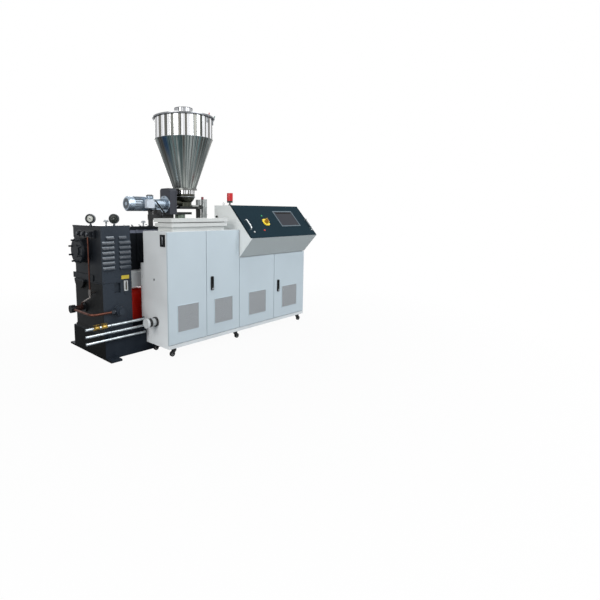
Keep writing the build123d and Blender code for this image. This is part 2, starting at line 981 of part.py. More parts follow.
def make_feeder_frame():
    """Two plates and a post: the upper plate narrows to a round end, under the slide gate's rail."""
    half = frame_half_width
    corners = [
        (frame_left, -half),
        (frame_wide_right, -half),
        (post_x, -frame_end_r),
        (post_x, frame_end_r),
        (frame_wide_right, half),
        (frame_left, half),
    ]
    plan = Polygon(*corners, align=None) + Pos(post_x, 0) * Circle(frame_end_r)
    body = extrude(Pos(0, 0, feeder_bottom - frame_plate_thick) * plan, frame_plate_thick)
    half_post = post_width / 2
    body += block(post_x - half_post, post_x + half_post, -half_post, half_post, cover_top, post_top)
    rail_top = feeder_bottom + gate_rail_thick
    half_rail = gate_rail_half_width
    body += block(gate_rail_left, post_x + half_post, -half_rail, half_rail, feeder_bottom, rail_top)
    half = lower_plate_half_width
    lower_top = lower_plate_bottom + frame_plate_thick
    body += block(chain_guard_right, lower_plate_right, -half, half, lower_plate_bottom, lower_top)
    return body


def make_feeder_housing():
    flange_low = hopper_outlet - hopper_flange_thick
    neck_low = hopper_outlet - neck_height
    profile = [
        (0, feeder_bottom),
        (bulge_low_r, feeder_bottom),
        (bulge_low_r, feeder_bottom + bulge_low_rise),
        (bulge_mid_r, feeder_bottom + bulge_mid_rise),
        (bulge_top_r, neck_low - bulge_land),
        (neck_r, neck_low),
        (neck_r, flange_low),
        (hopper_flange_r, flange_low),
        (hopper_flange_r, hopper_outlet),
        (0, hopper_outlet),
    ]
    body = turned(profile)
    body += rod_x(screw_tube_r, chain_guard_right, 0, 0, feeder_bottom + screw_tube_rise)
    cavity = [
        (0, feeder_bottom + cavity_floor),
        (bulge_low_r - feeder_wall, feeder_bottom + cavity_floor + cavity_land),
        (bulge_low_r - feeder_wall, feeder_bottom + bulge_low_rise),
        (bulge_mid_r - feeder_wall, feeder_bottom + bulge_mid_rise),
        (bulge_top_r - feeder_wall, neck_low - bulge_land),
        (neck_r - feeder_wall, neck_low),
        (neck_r - feeder_wall, hopper_outlet + cut_over),
        (0, hopper_outlet + cut_over),
    ]
    return body - turned(cavity)


def make_hopper_shell():
    profile = [
        (hopper_outlet_r - hopper_wall, hopper_outlet),
        (hopper_flange_r, hopper_outlet),
        (hopper_flange_r, hopper_outlet + hopper_flange_thick),
        (hopper_outlet_r, hopper_outlet + hopper_flange_thick),
        (hopper_r, hopper_shoulder),
        (hopper_r, hopper_top - hopper_rim_thick),
        (hopper_rim_r, hopper_top - hopper_rim_thick),
        (hopper_rim_r, hopper_top),
        (hopper_r - hopper_wall, hopper_top),
        (hopper_r - hopper_wall, hopper_shoulder),
    ]
    return turned(profile)


def make_hopper_lid():
    body = rod_z(hopper_rim_r, hopper_top, hopper_top + lid_thick, 0, 0)
    body += rod_z(collar_r, hopper_top, hopper_top + collar_height, 0, 0)
    return body - rod_z(collar_r - collar_wall, hopper_top, hopper_top + collar_height, 0, 0)


def make_chain_guard():
    """The tall drive guard: two sheet halves with a seam groove round the middle."""
    half = chain_guard_half_width
    top = hopper_outlet + chain_guard_over
    body = block(chain_guard_left, chain_guard_right, -half, half, lower_plate_bottom, top)
    body = fillet(body.edges().filter_by(Axis.X).group_by(Axis.Z)[-1], chain_guard_round)
    seam_x = chain_guard_right - chain_guard_seam
    seam = block(seam_x - cover_seam_width, seam_x, -half, cover_seam_depth - half, lower_plate_bottom, top)
    return body - seam


def make_feeder_motor():
    """Gear motor on the chain guard, carried by a post on the distribution box."""
    flange_left = chain_guard_left - reducer_flange_thick
    body = turned_steps(
        [
            (reducer_flange_thick, reducer_flange_r),
            (reducer_length, reducer_r),
            (reducer_ring_thick, reducer_ring_r),
            (drive_neck_length, drive_neck_r),
            (drive_shield_length, drive_motor_r),
            (drive_body_length, drive_body_r),
        ],
        chain_guard_left,
        0,
        drive_height,
    )
    neck_left = flange_left - reducer_length - reducer_ring_thick - drive_neck_length
    fin_right = neck_left - drive_shield_length
    fin_left = fin_right - drive_body_length
    fin_low = drive_body_r - drive_fin_thick
    for fin in cooling_fins(
        drive_fin_count, drive_fin_thick, fin_low, drive_motor_r, fin_left, fin_right, 0, drive_height
    ):
        body += fin
    cowl = rod_x(drive_motor_r, fin_left - drive_cowl_length, fin_left, 0, drive_height)
    body += chamfer(cowl.edges().group_by(Axis.X)[0], drive_cowl_bevel)
    half = drive_post_width / 2
    post_left = drive_post_x - half
    body += block(post_left, drive_post_x + half, -half, half, box_top, drive_height)
    half = drive_beam_half_width
    beam_low = lower_plate_bottom - drive_beam_height
    body += block(post_left, chain_guard_right, -half, half, beam_low, lower_plate_bottom)
    left = drive_saddle_x - drive_saddle_thick / 2
    half = drive_saddle_half_width
    body += block(left, left + drive_saddle_thick, -half, half, lower_plate_bottom, drive_height)
    box_half = drive_box_width / 2
    high_half = drive_box_height / 2
    body += block(
        drive_box_x - box_half,
        drive_box_x + box_half,
        -drive_motor_r - drive_box_reach,
        0,
        drive_height - high_half,
        drive_height + high_half,
    )
    cap = rod_z(drive_cap_r, drive_height, drive_height + drive_cap_rise, drive_cap_x, 0)
    return body + chamfer(cap.edges().group_by(Axis.Z)[-1], drive_cap_edge)


def make_vacuum_pot():
    """A ribbed pot: bands stand proud of the tube, with a knob on top."""
    tube_r = pot_r - pot_band_depth
    body = rod_z(tube_r, cover_top, pot_top, pot_x, 0)
    span = pot_top - cover_top - pot_band_width
    for band in range(pot_band_count):
        z = cover_top + span * band / (pot_band_count - 1)
        body += rod_z(pot_r, z, z + pot_band_width, pot_x, 0)
    return body + rod_z(pot_cap_r, pot_top, pot_top + pot_cap_height, pot_x - pot_cap_set_left, 0)


# Gauges, breathers and the oil circuit

def gauge(x, y, seat):
    """A dial with a raised rim on a stem with a nut, its face turned towards the operator's corner."""
    half = gauge_thick / 2
    dial = rod_y(gauge_r, -half, half, 0, 0)
    dial -= rod_y(gauge_r - gauge_rim, -half, gauge_sunk - half, 0, 0)
    dial = Pos(x, y, seat + gauge_rise) * Rot(0, 0, -gauge_turn) * dial
    stem = rod_z(gauge_stem_r, seat, seat + gauge_rise - gauge_r + gauge_rim, x, y)
    nut = Pos(x, y, seat) * extrude(RegularPolygon(gauge_nut_r, 6), gauge_nut_height)
    return dial + stem + nut


def make_gauges():
    first = gauge(gearbox_left + gauge_one_x, gauge_one_y, gearbox_top)
    second = gauge(gearbox_left + gauge_two_x, guard_face + gauge_two_set_back, gearbox_top)
    return [first, second]


def breather(x, y, seat):
    """A mushroom-headed breather on a stem."""
    cap_top = seat + breather_height
    cap_low = cap_top - breather_cap_height
    profile = [
        (0, seat),
        (breather_stem_r, seat),
        (breather_stem_r, cap_low),
        (breather_r, cap_low),
        (breather_r, cap_low + breather_brim),
        (breather_crown_r, cap_top),
        (0, cap_top),
    ]
    return turned(profile, x, y)


def make_breathers():
    first = breather(gearbox_left + breather_one_x, guard_back - breather_one_set_in, gearbox_top)
    second = breather(breather_two_x, breather_two_y, box_top)
    return [first, second]


def oil_valve_places():
    """The middle of each valve on the manifold, front to back."""
    first = manifold_middle - oil_valve_pitch * (oil_valve_count - 1) / 2
    return [first + oil_valve_pitch * number for number in range(oil_valve_count)]


def make_oil_manifold():
    face = gearbox_left - manifold_depth
    half = manifold_width / 2
    middle_z = manifold_low + manifold_height / 2
    top = manifold_low + manifold_height
    body = block(face, gearbox_left, manifold_middle - half, manifold_middle + half, manifold_low, top)
    valve_half = oil_valve_width / 2
    high_half = oil_valve_height / 2
    for y in oil_valve_places():
        left = face - oil_valve_reach
        body += block(left, face, y - valve_half, y + valve_half, middle_z - high_half, middle_z + high_half)
        body += rod_x(oil_valve_cap_r, left - oil_valve_cap_reach, left, y, middle_z)
    return body


def make_oil_pump():
    """The pump stands out of the casting's left face, with a boss for each pipe."""
    flange_left = gearbox_left - pump_flange_thick
    end_right = pump_left + pump_end_length
    body = rod_x(pump_flange_r, flange_left, gearbox_left, pump_y, pump_height)
    body += rod_x(pump_r, pump_left, gearbox_left, pump_y, pump_height)
    body += rod_x(pump_end_r, pump_left, end_right, pump_y, pump_height)
    half = pump_boss_half
    body += block(
        upright_x - half,
        upright_x + half,
        cross_pipe_y - half,
        pump_y,
        pump_height,
        pump_height + pump_boss_rise,
    )
    return body + block(
        front_pipe_x - half,
        front_pipe_x + half,
        pump_y - pump_boss_reach,
        pump_y,
        pump_height - half,
        pump_height + half,
    )


def make_copper_pipes():
    """One pipe drops from the manifold through a fitting to the pump; one runs round the front corner."""
    valve_low = manifold_low + (manifold_height - oil_valve_height) / 2
    fitting_top = upright_foot + fitting_height
    body = rod_z(oil_pipe_r, fitting_top, valve_low, upright_x, upright_y)
    body += rod_z(fitting_r, upright_foot, fitting_top, upright_x, upright_y)
    fitting_middle = (upright_foot + fitting_top) / 2
    body += rod_x(fitting_arm_r, upright_x, gearbox_left, upright_y, fitting_middle)
    boss_top = pump_height + pump_boss_rise
    corners = [
        (upright_x, upright_y, upright_foot + fitting_height / 2),
        (upright_x, upright_y, upright_foot - cross_pipe_drop),
        (upright_x, cross_pipe_y, boss_top + cross_pipe_drop),
        (upright_x, cross_pipe_y, boss_top),
    ]
    body += round_pipe(oil_pipe_r, cross_pipe_bend, corners)
    corners = [
        (front_pipe_x, pump_y - pump_boss_reach, pump_height),
        (front_pipe_x, front_pipe_y, pump_height),
        (gland_x - gland_boss_reach, front_pipe_y, pump_height),
    ]
    return [body, round_pipe(front_pipe_r, front_pipe_bend, corners)]


# Cooling water

def make_water_pipes():
    pipes = []
    for row in range(3):
        z = water_pipe_low + row * water_pipe_pitch
        thread_end = water_pipe_left + pipe_thread_length
        pipe = rod_x(water_pipe_r, thread_end, water_pipe_right, water_pipe_y, z)
        pipe += rod_x(pipe_thread_r, water_pipe_left, thread_end, water_pipe_y, z)
        bore = rod_x(water_pipe_bore_r, water_pipe_left, water_pipe_right, water_pipe_y, z)
        pipes.append(pipe - bore)
    return pipes


def valve_places():
    return [valve_first, valve_first + valve_pitch]


def make_valve_bodies():
    """Two ball valves on the top pipe: a body between hexagon ends, and a stem."""
    z = water_pipe_low + 2 * water_pipe_pitch
    valves = []
    half = valve_length / 2
    collar = Rot(0, 90, 0) * extrude(RegularPolygon(valve_collar_r, 6), valve_collar_length)
    for x in valve_places():
        body = rod_x(valve_r, x - half, x + half, water_pipe_y, z)
        body += Pos(x - half, water_pipe_y, z) * collar
        body += Pos(x + half - valve_collar_length, water_pipe_y, z) * collar
        body += rod_z(valve_stem_r, z, z + valve_r + valve_stem_height, x, water_pipe_y)
        body -= rod_x(water_pipe_r + seat_gap, x - half, x + half, water_pipe_y, z)
        valves.append(body)
    return valves


def make_valve_lever(x):
    """A butterfly lever, narrower in the middle, on the valve's stem."""
    low = water_pipe_low + 2 * water_pipe_pitch + valve_r + valve_stem_height + seat_gap
    half = lever_length / 2
    wide = lever_width / 2
    waist = lever_waist / 2
    outline = [
        (x - half, water_pipe_y - wide),
        (x, water_pipe_y - waist - valve_stem_r),
        (x + half, water_pipe_y - wide),
        (x + half, water_pipe_y + wide),
        (x, water_pipe_y + waist + valve_stem_r),
        (x - half, water_pipe_y + wide),
    ]
    return extrude(Plane.XY.offset(low) * make_face(Polyline(*outline, close=True)), lever_thick)


# Control cabinet

def make_cabinet_side(x0, top):
    """An upright side panel whose back edge steps over the base."""
    outline = [
        (carcass_front, cabinet_bottom),
        (cabinet_foot_back, cabinet_bottom),
        (cabinet_foot_back, step_low),
        (cabinet_step_back, step_low),
        (cabinet_step_back, step_high),
        (cabinet_tall_back, step_high),
        (cabinet_tall_back, top),
        (carcass_front, top),
    ]
    return side_profile(outline, x0, x0 + panel)


def make_cabinet_divider():
    """The tall bay's right side with the low bay's left side against it."""
    tall = make_cabinet_side(cabinet_middle - panel, tall_top)
    return tall + make_cabinet_side(cabinet_middle, low_top)


def make_cabinet_back():
    """The bent back sheets between the side panels, one to a bay."""
    sheets = []
    bays = (
        (cabinet_left + panel, cabinet_middle - panel, tall_top - panel),
        (cabinet_middle + panel, cabinet_right - panel, low_top - panel),
    )
    for x0, x1, top in bays:
        foot = cabinet_foot_back
        step = cabinet_step_back
        tall = cabinet_tall_back
        outline = [
            (foot - door_skin, cabinet_bottom + panel),
            (foot, cabinet_bottom + panel),
            (foot, step_low),
            (step, step_low),
            (step, step_high),
            (tall, step_high),
            (tall, top),
            (tall - door_skin, top),
            (tall - door_skin, step_high - door_skin),
            (step - door_skin, step_high - door_skin),
            (step - door_skin, step_low + door_skin),
            (foot - door_skin, step_low + door_skin),
        ]
        sheets.append(side_profile(outline, x0, x1))
    return sheets


def make_cabinet_floor():
    left = cabinet_left + panel
    right = cabinet_right - panel
    bays = []
    for x0, x1 in ((left, cabinet_middle - panel), (cabinet_middle + panel, right)):
        bays.append(block(x0, x1, carcass_front, cabinet_foot_back, cabinet_bottom, cabinet_bottom + panel))
    plinth_top = door_bottom - door_gap
    plinth = block(cabinet_left, cabinet_right, cabinet_front, carcass_front, cabinet_bottom, plinth_top)
    body = plinth + bays[0] + bays[1]
    half = castor_plate / 2
    bearing_top = cabinet_bottom - castor_plate_thick
    for x, y, turn in castor_places():
        body += block(x - half, x + half, y - half, y + half, bearing_top, cabinet_bottom)
        body += rod_z(castor_bearing_r, bearing_top - castor_bearing_thick, bearing_top, x, y)
    return body


def make_cabinet_tops():
    left = cabinet_left + panel
    right = cabinet_right - panel
    tall = block(left, cabinet_middle - panel, carcass_front, cabinet_tall_back, tall_top - panel, tall_top)
    low = block(cabinet_middle + panel, right, carcass_front, cabinet_tall_back, low_top - panel, low_top)
    return [tall, low]


def door(x0, x1, top, vent_width):
    """A folded steel door with a framed vent."""
    body = block(x0, x1, cabinet_front, carcass_front - seat_gap, door_bottom, top)
    body -= block(
        x0 + door_skin,
        x1 - door_skin,
        cabinet_front + door_skin,
        carcass_front,
        door_bottom + door_skin,
        top - door_skin,
    )
    middle = (x0 + x1) / 2
    half = vent_width / 2
    low = vent_centre_height - vent_height / 2
    high = vent_centre_height + vent_height / 2
    face = cabinet_front - vent_proud
    body += block(middle - half, middle + half, face, cabinet_front, low, high)
    body -= block(
        middle - half + vent_frame,
        middle + half - vent_frame,
        face,
        face + vent_sunk,
        low + vent_frame,
        high - vent_frame,
    )
    return body


def door_handle(x, height):
    """A flush handle: a rounded bar with a finger dish in its upper part."""
    half = handle_width / 2
    face = cabinet_front - handle_depth
    top = height + handle_length / 2
    bar = block(x - half, x + half, face, cabinet_front, height - handle_length / 2, top)
    bar = fillet(bar.edges().filter_by(Axis.Y), handle_round)
    dish_half = half - handle_rim
    dish_top = top - handle_rim
    return bar - block(
        x - dish_half,
        x + dish_half,
        face,
        face + handle_dish_depth,
        dish_top - handle_dish_length,
        dish_top,
    )


def make_doors():
    half = door_gap / 2
    tall = tall_top - half
    low = low_top - door_gap - half
    first_gap = cabinet_left + tall_door_pitch
    second_gap = cabinet_middle + low_door_pitch
    doors = {
        "door_1": door(cabinet_left, first_gap - half, tall, vent_tall_width),
        "door_2": door(first_gap + half, cabinet_middle - half, tall, vent_tall_width),
        "door_3": door(cabinet_middle + half, second_gap - half, low, vent_low_width),
        "door_4": door(second_gap + half, cabinet_right, low, vent_low_width),
    }
    doors["door_2"] += door_handle(first_gap + handle_inset, tall_handle_height)
    doors["door_4"] += door_handle(second_gap + handle_inset, low_handle_height)
    return doors


def make_roof_vent():
    x0 = cabinet_left + vent_roof_inset_left
    x1 = cabinet_middle - vent_roof_inset_right
    y0 = cabinet_front + vent_roof_front
    y1 = cabinet_tall_back - vent_roof_back
    inset = vent_body_inset
    step = vent_slab_step
    slab_low = tall_top + vent_body_height
    slab_mid = slab_low + vent_slab
    upper_low = slab_mid + vent_neck
    body = block(x0 + inset, x1 - inset, y0 + inset, y1 - inset, tall_top, upper_low)
    lower = block(x0 + step, x1 - step, y0 + step, y1 - step, slab_low, slab_mid)
    body += upright_edges(lower, vent_slab_round)
    upper = block(x0, x1, y0, y1, upper_low, upper_low + vent_slab)
    return body + upright_edges(upper, vent_slab_round)


def make_side_coupler():
    """Rings of different size and a cap, standing out of the cabinet's left side."""
    return turned_steps(
        [
            (coupler_root_length, coupler_root_r),
            (coupler_ring_length, coupler_ring_r),
            (coupler_seal_length, coupler_seal_r),
            (coupler_cap_length, coupler_r),
        ],
        cabinet_left,
        cabinet_front + coupler_depth,
        coupler_height,
    )


# Sloping console

def console_frame(from_left, up_slope):
    """A plane on the lid: +x across, +y up the slope, +z out of the lid."""
    angle = math.radians(slope_angle)
    origin = (
        console_left + from_left,
        console_nose + up_slope * math.cos(angle),
        console_nose_height + up_slope * math.sin(angle),
    )
    return Plane(origin=origin, x_dir=(1, 0, 0), z_dir=(0, -math.sin(angle), math.cos(angle)))


def make_console_body():
    front = cabinet_front
    outer = [
        (front, low_top),
        (console_nose, console_nose_height - lid_gap),
        (console_nose + lid_depth + lid_gap, console_nose_height - lid_gap),
        (console_ridge + lid_depth + lid_gap, console_top),
        (cabinet_tall_back, console_top),
        (cabinet_tall_back, low_top),
    ]
    body = side_profile(outer, console_left, cabinet_right)
    lip = panel
    inner = [
        (front + lip, low_top + lip),
        (console_nose + lid_depth + 2 * lip, console_nose_height + lip),
        (console_nose + lid_depth - lip, console_nose_height + lip),
        (console_ridge + lid_depth - 2 * lip, console_top - lip),
        (cabinet_tall_back - lip, console_top - lip),
        (cabinet_tall_back - lip, low_top + lip),
    ]
    return body - side_profile(inner, console_left + lip, cabinet_right - lip)


def make_console_lid():
    outline = [
        (console_nose, console_nose_height),
        (console_nose + lid_depth, console_nose_height),
        (console_ridge + lid_depth, console_top),
        (console_ridge, console_top),
    ]
    body = side_profile(outline, console_left, cabinet_right)
    width = cabinet_right - console_left
    pocket = console_frame(0, 0) * Pos(width / 2, slope_length / 2, -lid_skin - lid_depth / 2)
    return body - pocket * Box(width - 2 * lid_rim, slope_length - 2 * lid_rim, lid_depth)


def on_lid(from_left, up_slope, shape, height):
    """A shape of that height, set on the lid."""
    return console_frame(from_left, up_slope) * Pos(0, 0, height / 2) * shape


def make_touch_screen():
    across = screen_left + screen_width / 2
    up = screen_low + screen_height / 2
    body = on_lid(across, up, Box(screen_width, screen_height, screen_thick), screen_thick)
    glass_width = screen_width - 2 * screen_frame
    glass_height = screen_height - 2 * screen_frame
    glass = Box(glass_width, glass_height, 2 * screen_sunk)
    return body - console_frame(across, up) * Pos(0, 0, screen_thick) * glass


def make_lid_fittings():
    parts = []
    width = cabinet_right - console_left
    lock = Cylinder(lock_r, lock_height)
    for across in (lock_left, lock_right):
        parts.append(on_lid(across, grip_low - lock_below_grip, lock, lock_height))
    for across in (grip_inset, width - grip_inset):
        low = console_frame(across, grip_low)
        corners = [(0, 0, 0), (0, 0, grip_height), (0, grip_length, grip_height), (0, grip_length, 0)]
        path = low * FilletPolyline(*corners, radius=grip_bend)
        parts.append(sweep(low * Circle(grip_r), path=path))
    plate = Box(switch_plate, switch_plate, switch_plate_thick)
    plate = fillet(plate.edges().filter_by(Axis.Z), switch_plate_round)
    parts.append(on_lid(switch_from_left, switch_up_slope, plate, switch_plate_thick))
    lamp = Cylinder(lamp_r, lamp_height)
    above = switch_from_left - lamp_above_shift
    below = switch_from_left - lamp_below_shift
    parts.append(on_lid(above, switch_up_slope + lamp_above_switch, lamp, lamp_height))
    parts.append(on_lid(below, switch_up_slope - lamp_below_switch, lamp, lamp_height))
    return parts


def make_switch_knob():
    place = console_frame(switch_from_left, switch_up_slope)
    low = switch_plate_thick + seat_gap
    knob = place * Pos(0, 0, low + switch_knob_height / 2) * Cylinder(switch_knob_r, switch_knob_height)
    grip_height_all = switch_knob_height + switch_grip_rise
    grip = Box(switch_grip_width, switch_grip_length, grip_height_all)
    return knob + place * Pos(0, 0, low + grip_height_all / 2) * grip


def make_beacon():
    x = console_left + beacon_from_left
    y = console_ridge + lid_depth + beacon_back
    stem_top = console_top + beacon_stem_height
    lens_low = stem_top + beacon_base_height
    body = rod_z(beacon_foot_r, console_top, console_top + beacon_foot_height, x, y)
    body += rod_z(beacon_stem_r, console_top, stem_top, x, y)
    body += rod_z(beacon_base_r, stem_top, lens_low, x, y)
    return body + rod_z(beacon_r, lens_low, lens_low + beacon_lens_height, x, y)


# Castors

def castor_places():
    """Swivel axis x and y of each castor, and which way it trails at rest."""
    front = cabinet_front + castor_front_inset
    back = cabinet_foot_back - castor_back_inset
    places = []
    for y in (front, back):
        places.append((cabinet_left + castor_left_inset, y, -1))
        places.append((cabinet_middle + castor_middle_shift, y, 1))
        places.append((cabinet_right - castor_right_inset, y, 1))
    return places


def make_castor_fork(x, y, turn):
    """A pressed fork: a round crown under the bearing and two raked cheeks down to the axle."""
    top = cabinet_bottom - castor_plate_thick - castor_bearing_thick - seat_gap
    axle_x = x + turn * castor_trail
    inner = castor_wheel_width / 2 + wheel_side_gap
    outer = inner + castor_cheek
    crown_low = 2 * castor_wheel_r + castor_crown_gap
    body = block(x - castor_bearing_r, x + castor_bearing_r, y - outer, y + outer, crown_low, top)
    low = castor_wheel_r - castor_cheek_drop
    half = castor_cheek_half
    outline = [
        (x - castor_bearing_r, crown_low),
        (x + castor_bearing_r, crown_low),
        (axle_x + half, castor_wheel_r),
        (axle_x + half / 2, low),
        (axle_x - half / 2, low),
        (axle_x - half, castor_wheel_r),
    ]
    cheek = extrude(Plane.XZ * make_face(Polyline(*outline, close=True)), castor_cheek, dir=(0, 1, 0))
    body += Pos(0, y + inner, 0) * cheek
    body += Pos(0, y - outer, 0) * cheek
    return body + rod_y(castor_axle_r, y - outer, y + outer, axle_x, castor_wheel_r)


def make_castor_wheel(x, y, turn):
    axle_x = x + turn * castor_trail
    half = castor_wheel_width / 2
    wheel = rod_y(castor_wheel_r, y - half, y + half, axle_x, castor_wheel_r)
    rim_r = castor_wheel_r - castor_hub_sunk * 2
    for y0 in (y - half, y + half - castor_hub_sunk):
        dish = rod_y(rim_r, y0, y0 + castor_hub_sunk, axle_x, castor_wheel_r)
        wheel -= dish - rod_y(castor_hub_r, y0, y0 + castor_hub_sunk, axle_x, castor_wheel_r)
    return wheel - rod_y(castor_axle_r + pin_clearance, y - half, y + half, axle_x, castor_wheel_r)


# All pieces by name

pieces = {
    "base_frame": make_base_frame(),
    "gearbox_lower": make_gearbox_lower(),
    "gearbox_upper": make_gearbox_upper(),
    "gearbox_guard": make_gearbox_guard(),
    "end_cover": make_end_cover(),
    "distribution_box": make_distribution_box(),
    "main_motor": make_main_motor(),
    "coupling_guard": make_coupling_guard(),
    "oil_cooler": make_oil_cooler(),
    "oil_manifold": make_oil_manifold(),
    "oil_pump": make_oil_pump(),
    "copper_pipes": make_copper_pipes(),
    "gauges": make_gauges(),
    "breathers": make_breathers(),
    "water_pipes": make_water_pipes(),
    "valve_bodies": make_valve_bodies(),
    "barrel": make_barrel(),
    "barrel_cover": make_barrel_cover(),
    "barrel_stand": make_barrel_stand(),
    "feed_stub": make_feed_stub(),
    "feeder_frame": make_feeder_frame(),
    "feeder_housing": make_feeder_housing(),
    "chain_guard": make_chain_guard(),
    "feeder_motor": make_feeder_motor(),
    "vacuum_pot": make_vacuum_pot(),
    "hopper_shell": make_hopper_shell(),
    "hopper_lid": make_hopper_lid(),
    "cabinet_left_side": make_cabinet_side(cabinet_left, tall_top),
    "cabinet_divider": make_cabinet_divider(),
    "cabinet_right_side": make_cabinet_side(cabinet_right - panel, low_top),
    "cabinet_back": make_cabinet_back(),
    "cabinet_floor": make_cabinet_floor(),
    "cabinet_tops": make_cabinet_tops(),
    "roof_vent": make_roof_vent(),
    "side_coupler": make_side_coupler(),
    "console_body": make_console_body(),
    "console_lid": make_console_lid(),
    "touch_screen": make_touch_screen(),
    "lid_fittings": make_lid_fittings(),
    "switch_knob": make_switch_knob(),
    "beacon": make_beacon(),
}
pieces.update(make_doors())
for number, x in enumerate(valve_places(), start=1):
    pieces[f"valve_lever_{number}"] = make_valve_lever(x)
for number, (x, y, turn) in enumerate(castor_places(), start=1):
    pieces[f"castor_{number}_fork"] = make_castor_fork(x, y, turn)
    pieces[f"castor_{number}_wheel"] = make_castor_wheel(x, y, turn)

os.makedirs("parts", exist_ok=True)
for name, shape in pieces.items():
    if isinstance(shape, list):
        shape = Compound(children=shape)
    export_step(shape, f"parts/{name}.step")
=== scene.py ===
# %% [markdown]
# # A plastic extruder for the factory library
# The machine melts plastic with two conical screws. A dark gearbox on the left drives them, a steel
# hopper feeds them from above, and a pale cabinet with a sloping console stands in front. The solids
# come from the CAD model. This lesson gives them their finishes and models the small parts.

# %% Load the CAD frame
import bpy
import bmesh
import math
from mathutils import Matrix, Vector


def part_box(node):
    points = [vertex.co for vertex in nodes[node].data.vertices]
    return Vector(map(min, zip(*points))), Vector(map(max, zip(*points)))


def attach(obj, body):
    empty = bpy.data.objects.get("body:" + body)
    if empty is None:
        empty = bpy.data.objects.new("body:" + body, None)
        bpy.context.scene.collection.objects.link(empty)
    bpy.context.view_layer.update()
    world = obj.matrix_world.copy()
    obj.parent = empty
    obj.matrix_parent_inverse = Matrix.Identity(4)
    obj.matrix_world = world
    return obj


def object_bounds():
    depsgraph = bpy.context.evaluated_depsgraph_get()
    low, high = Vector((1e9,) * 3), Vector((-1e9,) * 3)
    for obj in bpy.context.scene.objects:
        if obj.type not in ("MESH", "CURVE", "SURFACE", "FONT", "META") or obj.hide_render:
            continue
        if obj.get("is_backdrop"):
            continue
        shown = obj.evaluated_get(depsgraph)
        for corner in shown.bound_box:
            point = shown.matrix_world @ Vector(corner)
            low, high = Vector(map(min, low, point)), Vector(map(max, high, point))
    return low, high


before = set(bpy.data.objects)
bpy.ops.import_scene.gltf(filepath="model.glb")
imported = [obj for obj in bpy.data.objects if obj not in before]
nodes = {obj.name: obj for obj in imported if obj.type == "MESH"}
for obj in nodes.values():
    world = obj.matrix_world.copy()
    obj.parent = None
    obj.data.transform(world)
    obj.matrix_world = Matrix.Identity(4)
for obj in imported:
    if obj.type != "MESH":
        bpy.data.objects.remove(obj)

scene = bpy.context.scene
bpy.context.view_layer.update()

# %% [markdown]
# ## The camera
# The view is the photograph's: a little above the gearbox's top, along the diagonal of the floor. The
# machine was the left part of a wider picture, so the lens is shifted sideways instead of turned. The
# focal length and the centre are counted in the photograph's pixels.

# %% Place the camera
picture_side, focal_pixels = 600, 417.634
centre_x, centre_y = 234.873, 265.933
camera_data = bpy.data.cameras.new("photo_camera")
camera = bpy.data.objects.new("photo_camera", camera_data)
scene.collection.objects.link(camera)
camera.location = (-3.2288, -4.1259, 1.4550)
camera.rotation_euler = (math.radians(90 - 7.0238), 0, math.radians(-44.8209))
camera_data.sensor_width = 36.0
camera_data.lens = focal_pixels / picture_side * camera_data.sensor_width
camera_data.shift_x = (picture_side / 2 - centre_x) / picture_side
camera_data.shift_y = (centre_y - picture_side / 2) / picture_side
camera_data.dof.use_dof = False
scene.camera = camera
print("camera lens", round(camera_data.lens, 2), "mm")

# %% [markdown]
# ## Floor, lamps and backdrop
# A product photograph has a pale floor that runs into a white background. The floor is one large plane.
# Large lamps far away give light without hard edges: one in front of the doors, one at the gearbox's
# side, one above and one behind. They are dim, so that a colour renders about as it is written. A small
# fifth lamp hangs where the gearbox's louvres mirror it, because sheet shows its shape by such glints.
# The louvres' brightest strips are painted highlights in the gearbox's paint as well.

# %% Lay the floor
def deselect_all():
    """Object mode with nothing selected, so that an operator works on the new piece alone."""
    if bpy.context.object and bpy.context.object.mode != "OBJECT":
        bpy.ops.object.mode_set(mode="OBJECT")
    bpy.ops.object.select_all(action="DESELECT")


deselect_all()
bpy.ops.mesh.primitive_plane_add(size=60, location=(0, 0, 0))
floor = bpy.context.object
floor.name = "studio_floor"
floor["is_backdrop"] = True
print("floor laid:", round(floor.dimensions.x), "m wide")

# %% Hang the lamps
def soft_lamp(name, place, aim, size, power, colour):
    """A large square lamp at place that shines towards aim."""
    lamp_data = bpy.data.lights.new(name, "AREA")
    lamp_data.size = size
    lamp_data.energy = power
    lamp_data.color = colour
    lamp = bpy.data.objects.new(name, lamp_data)
    scene.collection.objects.link(lamp)
    lamp.location = place
    lamp.rotation_euler = (Vector(aim) - Vector(place)).to_track_quat("-Z", "Y").to_euler()


soft_lamp("door_lamp", (1.4, -6.2, 4.6), (0.3, 0, 0.8), 4.5, 270, (0.95, 0.98, 1.0))
soft_lamp("side_lamp", (-6.2, -2.0, 3.4), (-0.6, 0, 0.9), 3.5, 160, (1.0, 0.99, 0.97))
soft_lamp("top_lamp", (0.5, 0.6, 6.2), (0, 0, 1.2), 5.0, 80, (1.0, 1.0, 1.0))
soft_lamp("back_lamp", (3.5, 5.5, 3.6), (0, 0, 1.0), 4.5, 150, (1.0, 1.0, 1.0))
soft_lamp("louvre_lamp", (1.6, -2.9, 5.7), (-1.1, -0.35, 1.1), 1.3, 42, (1.0, 1.0, 1.0))

# %% [markdown]
# ## A short way to write finishes
# A finish is a small graph of nodes. The class Wire holds one output of a node, and + - * < > on it add
# Math nodes, so a formula reads as a formula. The class Finish holds a material and makes its nodes.

